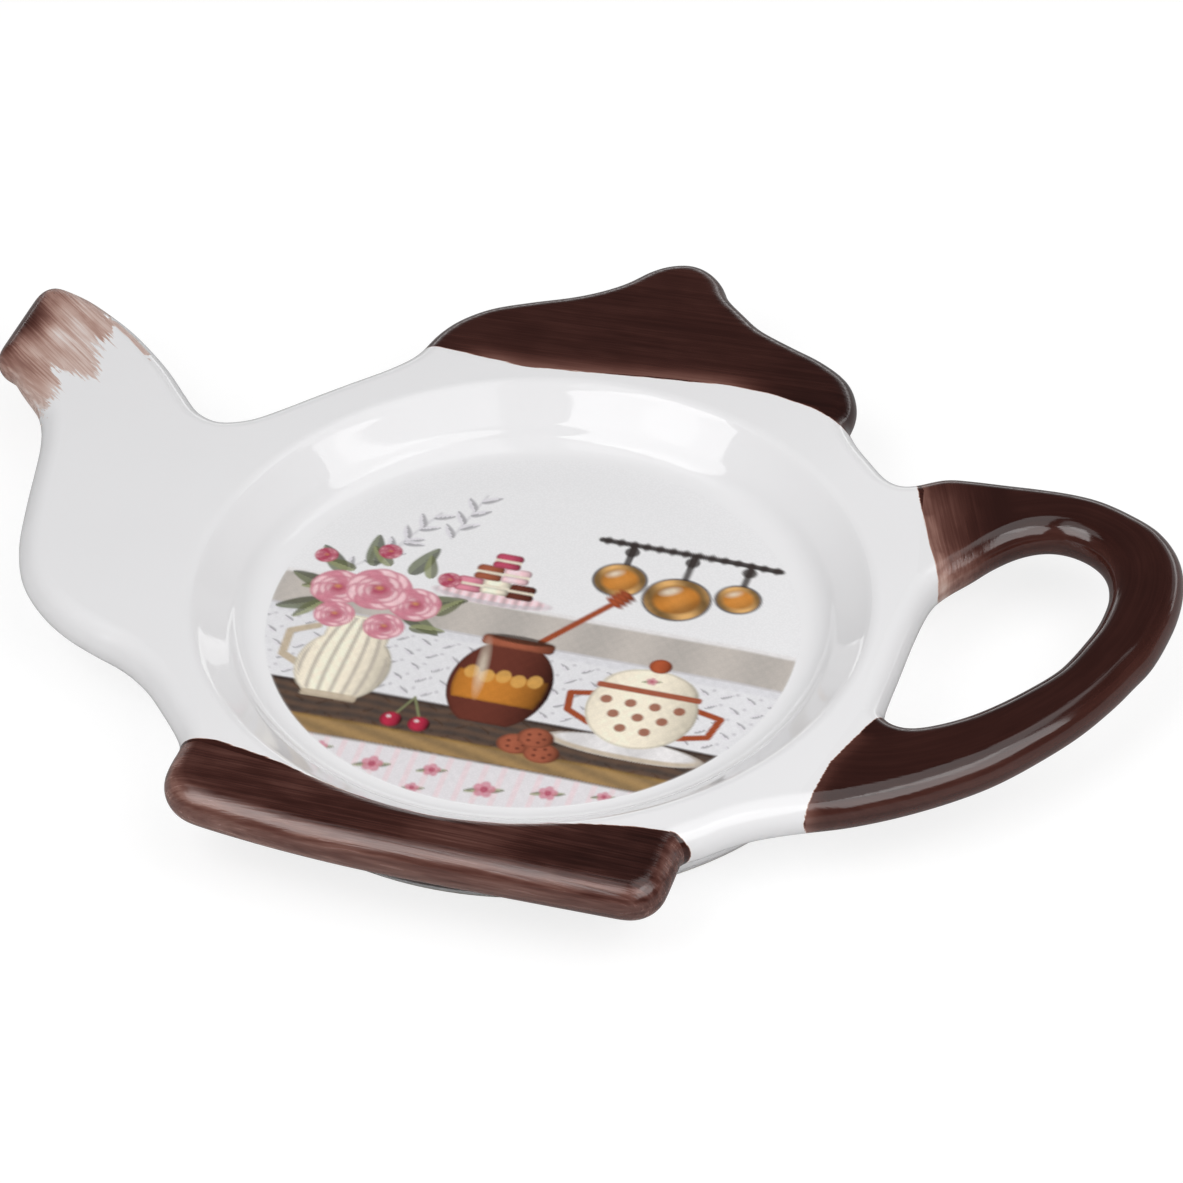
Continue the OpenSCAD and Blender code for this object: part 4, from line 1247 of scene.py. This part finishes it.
def paint_sugar(p):
    """Sugar bowl with spots, on a saucer."""
    mid = 14.6
    saucer = p.oval(mid, -20.4, 8.0, 1.6)
    p.lay(saucer, "paper", 0.95, shade=0.1 * np.cos(p.x))
    p.lay(np.maximum(saucer, -p.oval(mid, -20.0, 7.6, 1.35)), "shade", 0.9)
    p.lay(p.line([(20.0, -12.8), (22.8, -13.4), (22.2, -16.4), (19.4, -17.4)], 0.8), "knob", 1.0)
    p.lay(p.line([(9.4, -12.8), (6.8, -13.4), (7.2, -16.0), (9.8, -17.4)], 0.8), "knob", 1.0)
    bowl = np.maximum(p.oval(mid, -14.2, 5.8, 6.0), p.y + 11.4)
    p.round_form(bowl, "cream", mid, 5.8, depth=0.3)
    for k, j in ((0, 0), (1, 0), (2, 0), (3, 0), (0.5, 1), (1.5, 1), (2.5, 1), (1, 2), (2, 2)):
        p.lay(p.oval(10.6 + 2.6 * k, -13.4 - 2.0 * j, 0.62, 0.62), "biscuit", 0.9)
    lid = np.maximum(p.oval(mid, -11.4, 5.2, 3.6), -p.y - 11.2)
    p.round_form(lid, "cream", mid, 5.2, depth=0.3)
    p.lay(p.box(mid, -11.3, 5.6, 0.42, 0.3), "knob", 0.95)
    p.round_form(p.oval(mid, -7.1, 1.2, 1.1), "knob", mid, 1.2)
    p.spray(14.4, -9.6, 0.7)


def paint_sweets(p):
    """Biscuits, and cherries on the table."""
    for at_x, at_y in ((3.6, -22.6), (6.6, -23.3), (5.4, -21.2)):
        p.round_form(p.oval(at_x, at_y, 1.9, 1.5), "biscuit", at_x, 1.9)
        for k in range(5):
            a = 1.3 * k
            p.lay(p.oval(at_x + 0.9 * math.cos(a), at_y + 0.7 * math.sin(a), 0.2, 0.17), "cocoa", 0.9)
    p.lay(p.line([(-9.6, -21.4), (-8.4, -18.4), (-6.9, -21.7)], 0.28), "leaf", 1.0)
    for at_x in (-9.8, -6.8):
        p.round_form(p.oval(at_x, -22.3, 1.15, 1.1), "berry", at_x, 1.1, depth=0.8)
        p.lay(p.oval(at_x - 0.35, -21.9, 0.25, 0.2), "paper", 0.8)


# The table and all on it stand higher by this than their own numbers say
TABLE_LIFT = 4.6


def paint_kitchen(p):
    """A kitchen shelf and table: jug of peonies, honey pot, sugar bowl, macarons and copper pans."""
    for part in (paint_wall, paint_twigs, paint_pans, paint_cakes):
        part(p)
    p.y = p.y - TABLE_LIFT
    for part in (paint_table, paint_jug, paint_honey, paint_sugar, paint_sweets):
        part(p)
    p.y = p.y + TABLE_LIFT


# Operators
def turned_tree():
    """Geometry nodes that sweep an outline round the upright axis. X is the way out, -Y up."""
    name = "Turned form"
    if name in bpy.data.node_groups:
        return bpy.data.node_groups[name]
    tree = bpy.data.node_groups.new(name, "GeometryNodeTree")
    for label, kind in (("Outline", "Geometry"), ("Radius", "Float"), ("Segments", "Int"),
                        ("Place", "Vector"), ("Merge", "Float"), ("Material", "Material")):
        tree.interface.new_socket(label, in_out="INPUT", socket_type="NodeSocket" + kind)
    tree.interface.new_socket("Form", in_out="OUTPUT", socket_type="NodeSocketGeometry")
    n = Nodes(tree)
    given = tree.nodes.new("NodeGroupInput").outputs
    outline = n.add("GeometryNodeMeshToCurve", Mesh=given["Outline"])
    circle = n.add("GeometryNodeCurvePrimitiveCircle", Resolution=given["Segments"], Radius=given["Radius"])
    swept = n.add("GeometryNodeCurveToMesh", Curve=circle.outputs[0], Profile_Curve=outline.outputs[0])
    whole = n.add("GeometryNodeMergeByDistance", Geometry=swept.outputs[0], Distance=given["Merge"])
    placed = n.add("GeometryNodeTransform", Geometry=whole.outputs[0], Translation=given["Place"])
    smooth = n.add("GeometryNodeSetShadeSmooth", Geometry=placed.outputs[0])
    real = n.add("GeometryNodeRealizeInstances", Geometry=smooth.outputs[0])
    coated = n.add("GeometryNodeSetMaterial", Geometry=real.outputs[0], Material=given["Material"])
    tree.links.new(coated.outputs[0], tree.nodes.new("NodeGroupOutput").inputs[0])
    return tree


# Points of a turned form nearer than this, in metres, are joined. Edges sharper than this many
# degrees stay sharp
JOINED, SHARP = 1e-7, 50


def turned(name, outline, loop, radius, segments, place, material):
    """Mesh swept from an outline in millimetres: from the axis to the axis over the top, or a loop."""
    outline = np.asarray(outline, float)
    count = len(outline)
    edges = [(k, k + 1) for k in range(count - 1)] + ([(count - 1, 0)] if loop else [])
    mesh = bpy.data.meshes.new(name)
    flat = np.c_[outline[:, 0] - radius, -outline[:, 1], np.zeros(count)]
    mesh.from_pydata((flat * MM).tolist(), edges, [])
    obj = bpy.data.objects.new(name, mesh)
    bpy.context.scene.collection.objects.link(obj)
    tree = turned_tree()
    sweep = obj.modifiers.new("Turned form", "NODES")
    sweep.node_group = tree
    values = {"Radius": radius * MM, "Segments": segments, "Place": (*place * MM, 0.0), "Merge": JOINED,
              "Material": material}
    for item in tree.interface.items_tree:
        if item.in_out == "INPUT" and item.name in values:
            sweep[item.identifier] = values[item.name]
    form = bpy.data.meshes.new_from_object(obj.evaluated_get(bpy.context.evaluated_depsgraph_get()))
    form.name = name
    bpy.data.objects.remove(obj)
    form.set_sharp_from_angle(angle=math.radians(SHARP))
    return form


def local_points(mesh, plan):
    """A mesh's points in millimetres from the well's middle."""
    return np.array([v.co[:] for v in mesh.vertices]) / MM - [*plan.well_at, 0]


def piece(name, mesh, node, material=None):
    """A finished piece that stands for its solid."""
    obj = bpy.data.objects.new(name, mesh)
    bpy.context.scene.collection.objects.link(obj)
    if material:
        mesh.materials.append(material)
    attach(obj, "root")
    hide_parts(node)
    return obj


# Faces round the well and the foot ring, and how far in from the wall the flange's waves reach
WELL_SEGMENTS, FOOT_SEGMENTS, WAVE_REACH = 320, 240, 4
# The bend from the floor to the wall: where it ends, as shares of the slope's width and the well's
# depth, and where its corner lies on the floor
BEND_OUT, BEND_UP, BEND_CORNER = 0.45, 0.34, 0.25
BEND_PARTS, BOWL_PARTS, LIP_PARTS = 30, 24, 16
# Radius of a ring of points on the flat floor, and how far in from the bend its last ring lies
FLOOR_RING, FLOOR_END = 15, 4
# How far in on the foot's width the bowl ends
BOWL_END = 0.2
# Step of the wall's outline and the width it is softened over, in millimetres
WALL_STEP, WALL_SOFT = 0.12, 0.3


def well_wall(plan, floor, floor_r):
    """The well's inside from the flat floor over the bend and the slope to the lip's top."""
    mm = plan.mm
    rise = math.degrees(math.asin(mm["lip_reach"] / mm["lip"]))
    lip_at = plan.wall + mm["lip_reach"], plan.top - mm["lip"]
    lip = arc(lip_at, mm["lip"], 135, 90 + rise, LIP_PARTS)
    foot = np.array([floor_r + BEND_OUT * mm["slope"], floor + BEND_UP * mm["well_depth"]])
    pull = np.array([floor_r + BEND_CORNER * mm["slope"], floor])
    t = np.linspace(1, 0, BEND_PARTS)[:, None]
    bend = foot * (1 - t) ** 2 + pull * 2 * t * (1 - t) + np.array([floor_r, floor]) * t ** 2
    wall = soft_profile(np.vstack([[[floor_r - FLOOR_END, floor]], bend, lip]), WALL_STEP, WALL_SOFT)
    wall[:, 1] = np.clip(wall[:, 1], floor, plan.top)
    return wall[:-1]


def well_bowl(plan):
    """The bowl's outside from under the flange down to the foot."""
    low = plan.mm["foot_height"]
    bowl_r = plan.wall + plan.mm["bowl_out"]
    foot_r = plan.wall - plan.mm["foot_in"] + BOWL_END * plan.mm["foot_width"]
    a = np.radians(np.linspace(90, 0, BOWL_PARTS))
    return np.c_[bowl_r - (bowl_r - foot_r) * (1 - np.sin(a)), low + (plan.under - low) * (1 - np.cos(a))]


class BuildWell(bpy.types.Operator):
    """Builds the round well: floor, sloping wall, lip and the bowl under it"""

    bl_idname = "rest.well"
    bl_label = "Well"

    def execute(self, context):
        plan = Plan(context.scene.rest_sizes)
        floor = plan.top - plan.mm["well_depth"]
        wall = well_wall(plan, floor, plan.wall - plan.mm["slope"])
        edge = [plan.wall, plan.top - plan.lip_drop(plan.wall)]
        outline = np.vstack([[[0, floor], [FLOOR_RING, floor]], wall, [edge, [plan.wall, plan.under]],
                             well_bowl(plan), [[0, plan.mm["foot_height"]]]])
        mesh = turned("Well", outline, False, plan.wall, WELL_SEGMENTS, plan.well_at,
                      glazed("White glaze", context.scene.rest_colours))
        points = local_points(mesh, plan)
        r = np.hypot(points[:, 0], points[:, 1])
        waves = plan.relief(points[:, :2]) + plan.lip_drop(r)
        sink = waves * ramp(r, plan.wall - WAVE_REACH, plan.wall)
        points[:, 2] += np.where(points[:, 2] > plan.under + 1, sink, 0)
        mesh.vertices.foreach_set("co", ((points + [*plan.well_at, 0]) * MM).ravel())
        mesh.update()
        store(mesh, brushed(plan, "well", points))
        piece("Well", mesh, "well")
        return {"FINISHED"}


class BuildFoot(bpy.types.Operator):
    """Builds the ring that the rest stands on, glazed outside and bare under it"""

    bl_idname = "rest.foot"
    bl_label = "Foot ring"

    def execute(self, context):
        plan = Plan(context.scene.rest_sizes)
        mm = plan.mm
        outer = plan.wall - mm["foot_in"]
        inner = outer - mm["foot_width"]
        edge, high = mm["foot_edge"], mm["foot_height"]
        outline = np.vstack([[[inner, high], [outer, high]], arc((outer - edge, edge), edge, 0, -90, 8),
                             arc((inner + edge, edge), edge, 270, 180, 8)])
        mesh = turned("Foot_ring", outline, True, outer, FOOT_SEGMENTS, plan.well_at,
                      foot_clay(context.scene.rest_colours, BARE_BELOW))
        piece("Foot_ring", mesh, "foot_ring")
        return {"FINISHED"}


def build_slab(context, name, label, material):
    plan = Plan(context.scene.rest_sizes)
    mesh, points = slab(plan, name).mesh(label, plan.well_at)
    store(mesh, brushed(plan, name, points))
    piece(label, mesh, name, glazed(material, context.scene.rest_colours))
    return {"FINISHED"}


class BuildRim(bpy.types.Operator):
    """Builds the white flange round the well"""

    bl_idname = "rest.rim"
    bl_label = "Rim"

    def execute(self, context):
        return build_slab(context, "rim", "Rim", "White glaze")


class BuildSpout(bpy.types.Operator):
    """Builds the spout with its brushed tip"""

    bl_idname = "rest.spout"
    bl_label = "Spout"

    def execute(self, context):
        return build_slab(context, "spout", "Spout", "Spout glaze")


class BuildLid(bpy.types.Operator):
    """Builds the brown lid with its knob"""

    bl_idname = "rest.lid"
    bl_label = "Lid"

    def execute(self, context):
        return build_slab(context, "lid", "Lid", "Brown glaze")


class BuildHandle(bpy.types.Operator):
    """Builds the brown loop handle"""

    bl_idname = "rest.handle"
    bl_label = "Handle"

    def execute(self, context):
        return build_slab(context, "handle", "Handle", "Brown glaze")


class BuildPlinth(bpy.types.Operator):
    """Builds the brown plinth under the well"""

    bl_idname = "rest.plinth"
    bl_label = "Plinth"

    def execute(self, context):
        return build_slab(context, "plinth", "Plinth", "Brown glaze")


# Points along a side of the print's grid, the height of its edge and how far in it rises to its
# full height, in millimetres
PRINT_POINTS, PRINT_EDGE, PRINT_RISE = 300, 0.02, 6


def square_to_disc(radius, count):
    """Points of a square grid, pressed into a disc."""
    side = np.linspace(-1, 1, count)
    a, b = np.meshgrid(side, side, indexing="ij")
    wide = np.abs(a) > np.abs(b)
    safe = np.where(wide, a, np.where(b == 0, 1, b))
    out = np.where(wide, a, b)
    turn = np.where(wide, (np.pi / 4) * (b / safe), np.pi / 2 - (np.pi / 4) * (a / safe))
    return radius * out * np.cos(turn), radius * out * np.sin(turn)


def print_disc(plan, radius):
    """A thin disc on the well's floor, higher in its middle: points in millimetres, and faces."""
    n = PRINT_POINTS
    floor = plan.top - plan.mm["well_depth"]
    x, y = square_to_disc(radius, n)
    rise = ramp(np.hypot(x, y), radius, radius - PRINT_RISE)
    z = floor + PRINT_EDGE + (plan.mm["print_height"] - PRINT_EDGE) * rise
    top = np.stack([x, y, z], -1).reshape(-1, 3)
    faces = [f[::-1] for f in grid_faces(n, n)]
    ring = [k * n for k in range(n)] + [(n - 1) * n + k for k in range(1, n)]
    ring += [k * n + n - 1 for k in range(n - 2, -1, -1)] + list(range(n - 2, 0, -1))
    base, m = len(top), len(ring)
    faces += [[ring[k], base + k, base + (k + 1) % m, ring[(k + 1) % m]] for k in range(m)]
    faces.append([base + k for k in range(m)][::-1])
    return np.vstack([top, np.c_[top[ring, :2], np.full(m, floor)]]), faces


class BuildPrint(bpy.types.Operator):
    """Builds the printed disc on the well's floor, and paints its picture"""

    bl_idname = "rest.print"
    bl_label = "Print"

    def execute(self, context):
        plan = Plan(context.scene.rest_sizes)
        colours = context.scene.rest_colours
        r = plan.wall - plan.mm["slope"] - plan.mm["print_margin"]
        verts, faces = print_disc(plan, r)
        mesh = bpy.data.meshes.new("Print")
        mesh.from_pydata(((verts + [*plan.well_at, 0]) * MM).tolist(), [], faces)
        mesh.update()
        mesh.polygons.foreach_set("use_smooth", [True] * len(mesh.polygons))
        mesh.set_sharp_from_angle(angle=math.radians(SHARP))
        picture = Picture(verts[:, 0], verts[:, 1], colours.white)
        paint_kitchen(picture)
        # The ink fades to plain glaze along the disc's edge
        fade = ramp(np.hypot(picture.x, picture.y), r + 0.05, r - 0.25)[:, None]
        rgb = picture.rgb * fade + np.asarray(colours.white) * (1 - fade)
        ink = mesh.color_attributes.new("ink", "FLOAT_COLOR", "POINT")
        ink.data.foreach_set("color", np.c_[rgb, np.ones(len(rgb))].astype(np.float32).ravel())
        piece("Print", mesh, "print", printed(colours))
        return {"FINISHED"}


# Lamps: degrees from the front to the handle's side, degrees up, distance, width and height in
# metres, brightness. Each faces the rest.
LAMPS = {
    "Key": (-40, 50, 1.20, 0.84, 0.86, 3.4),
    "Fill": (68, 42, 0.44, 0.44, 0.29, 2.6),
    "Ceiling": (-78, 70, 0.90, 0.55, 0.45, 0.9),
    "Glow": (115, 70, 0.90, 0.90, 0.55, 1.1),
    "Back": (180, 12, 0.95, 1.50, 0.22, 0.4),
    "Horizon": (180, 4.5, 0.90, 1.80, 0.11, 1.7),
}
# Half the floor's side in metres, and its grey for the light that it throws on the rest, for the
# eye and mirrors, and its own light in mirrors
FLOOR_HALF, PAPER_BOUNCE, PAPER_SEEN, PAPER_MIRRORED = 3.0, 0.9, 0.25, 0.12
# The camera's film width in millimetres, and the nearest and farthest that it sees, in metres
FILM_WIDTH, SEEN_FROM, SEEN_TO = 36.0, 0.05, 20.0


def add_camera(scene, s, target):
    """A camera turned round the target, above it and rolled, looking past it by shift and lift."""
    ca, sa, ce, se = math.cos(s.turn), math.sin(s.turn), math.cos(s.rise), math.sin(s.rise)
    right = Vector((ca, sa, 0))
    near = Vector((sa, -ca, 0))
    back = near * ce + Vector((0, 0, se))
    up = back.cross(right)
    cr, sr = math.cos(s.roll), math.sin(s.roll)
    x_axis, y_axis = right * cr - up * sr, right * sr + up * cr
    camera = bpy.data.objects.new("Camera", bpy.data.cameras.new("Camera"))
    camera.data.lens = s.lens
    camera.data.sensor_width = FILM_WIDTH
    camera.data.sensor_fit = "HORIZONTAL"
    camera.data.clip_start, camera.data.clip_end = SEEN_FROM, SEEN_TO
    place = target + back * s.distance + right * s.shift + up * s.lift
    camera.matrix_world = Matrix.Translation(place) @ Matrix((x_axis, y_axis, back)).transposed().to_4x4()
    scene.collection.objects.link(camera)
    scene.camera = camera


def add_lamp(scene, s, target, name):
    """A flat lamp of one brightness, facing the target."""
    around, high, far, width, height, bright = LAMPS[name]
    light = bpy.data.lights.new(name, "AREA")
    light.shape = "RECTANGLE"
    light.size, light.size_y = width, height
    light.energy = s.lamps * bright * math.pi * width * height
    lamp = bpy.data.objects.new(name, light)
    az, el = math.radians(around), math.radians(high)
    way = Vector((math.sin(az) * math.cos(el), -math.cos(az) * math.cos(el), math.sin(el)))
    side = Vector((math.cos(az), math.sin(az), 0))
    turn = Matrix((side, way.cross(side), way)).transposed()
    lamp.matrix_world = Matrix.Translation(target + way * far) @ turn.to_4x4()
    scene.collection.objects.link(lamp)


def add_floor(scene, s):
    mesh = bpy.data.meshes.new("Floor")
    e = FLOOR_HALF
    mesh.from_pydata([(-e, -e, 0), (e, -e, 0), (e, e, 0), (-e, e, 0)], [], [(0, 1, 2, 3)])
    floor = bpy.data.objects.new("Floor", mesh)
    scene.collection.objects.link(floor)
    mesh.materials.append(floor_paper(s))


class BuildStudio(bpy.types.Operator):
    """Sets up the floor, the lamps and the camera"""

    bl_idname = "rest.studio"
    bl_label = "Studio"

    def execute(self, context):
        scene = context.scene
        s = scene.rest_studio
        plan = Plan(scene.rest_sizes)
        target = Vector((plan.well_at[0] * MM, plan.well_at[1] * MM, plan.top * MM))
        add_camera(scene, s, target)
        for name in LAMPS:
            add_lamp(scene, s, target, name)
        scene.world = dim_world(s)
        add_floor(scene, s)
        scene.view_settings.view_transform = "Standard"
        return {"FINISHED"}


def dim_world(s):
    """Dim, even surroundings."""
    world = bpy.data.worlds.new("Studio")
    world.use_nodes = True
    world.node_tree.nodes.clear()
    n = Nodes(world.node_tree)
    sky = n.add("ShaderNodeBackground", Color=(1, 1, 1, 1), Strength=s.ambient)
    n.tree.links.new(sky.outputs[0], n.add("ShaderNodeOutputWorld").inputs[0])
    return world


def floor_paper(s):
    """White paper that holds the shadow and renders as plain white around the rest."""
    mat, n = new_material("Floor")
    path = n.add("ShaderNodeLightPath").outputs
    mirrored = n.math("MAXIMUM", path["Is Glossy Ray"], path["Is Transmission Ray"])
    seen = n.math("MAXIMUM", path["Is Camera Ray"], mirrored)
    shade = n.mix(seen, rgba([PAPER_BOUNCE] * 3), rgba([PAPER_SEEN] * 3))
    own = n.math("ADD", n.scaled(path["Is Camera Ray"], s.paper_light), n.scaled(mirrored, PAPER_MIRRORED))
    matt = n.add("ShaderNodeBsdfDiffuse", Color=shade)
    glow = n.add("ShaderNodeEmission", Color=(1, 1, 1, 1), Strength=own)
    finish_material(n, n.add("ShaderNodeAddShader", i0=matt.outputs[0], i1=glow.outputs[0]).outputs[0])
    return mat


class RestPanel(bpy.types.Panel):
    """Lists the steps that build the rest"""

    bl_idname = "REST_PT_build"
    bl_label = "Tea bag rest"
    bl_space_type = "VIEW_3D"
    bl_region_type = "UI"
    bl_category = "Rest"

    def draw(self, context):
        for step in STEPS:
            self.layout.operator(step.bl_idname)
        for name in GROUPS:
            box = self.layout.box()
            group_of = getattr(context.scene, name)
            for prop in type(group_of).__annotations__:
                box.prop(group_of, prop)


GROUPS = {"rest_sizes": RestSizes, "rest_colours": RestColours, "rest_studio": StudioSettings}
STEPS = (BuildStudio, BuildWell, BuildFoot, BuildRim, BuildSpout, BuildLid, BuildHandle, BuildPlinth,
         BuildPrint)


def register():
    for cls in (*GROUPS.values(), *STEPS, RestPanel):
        bpy.utils.register_class(cls)
    for name, cls in GROUPS.items():
        setattr(bpy.types.Scene, name, PointerProperty(type=cls))


def unregister():
    for name in GROUPS:
        delattr(bpy.types.Scene, name)
    for cls in reversed((*GROUPS.values(), *STEPS, RestPanel)):
        bpy.utils.unregister_class(cls)


def main():
    register()
    for step in STEPS:
        area, name = step.bl_idname.split(".")
        getattr(getattr(bpy.ops, area), name)()


if __name__ == "__main__":
    main()
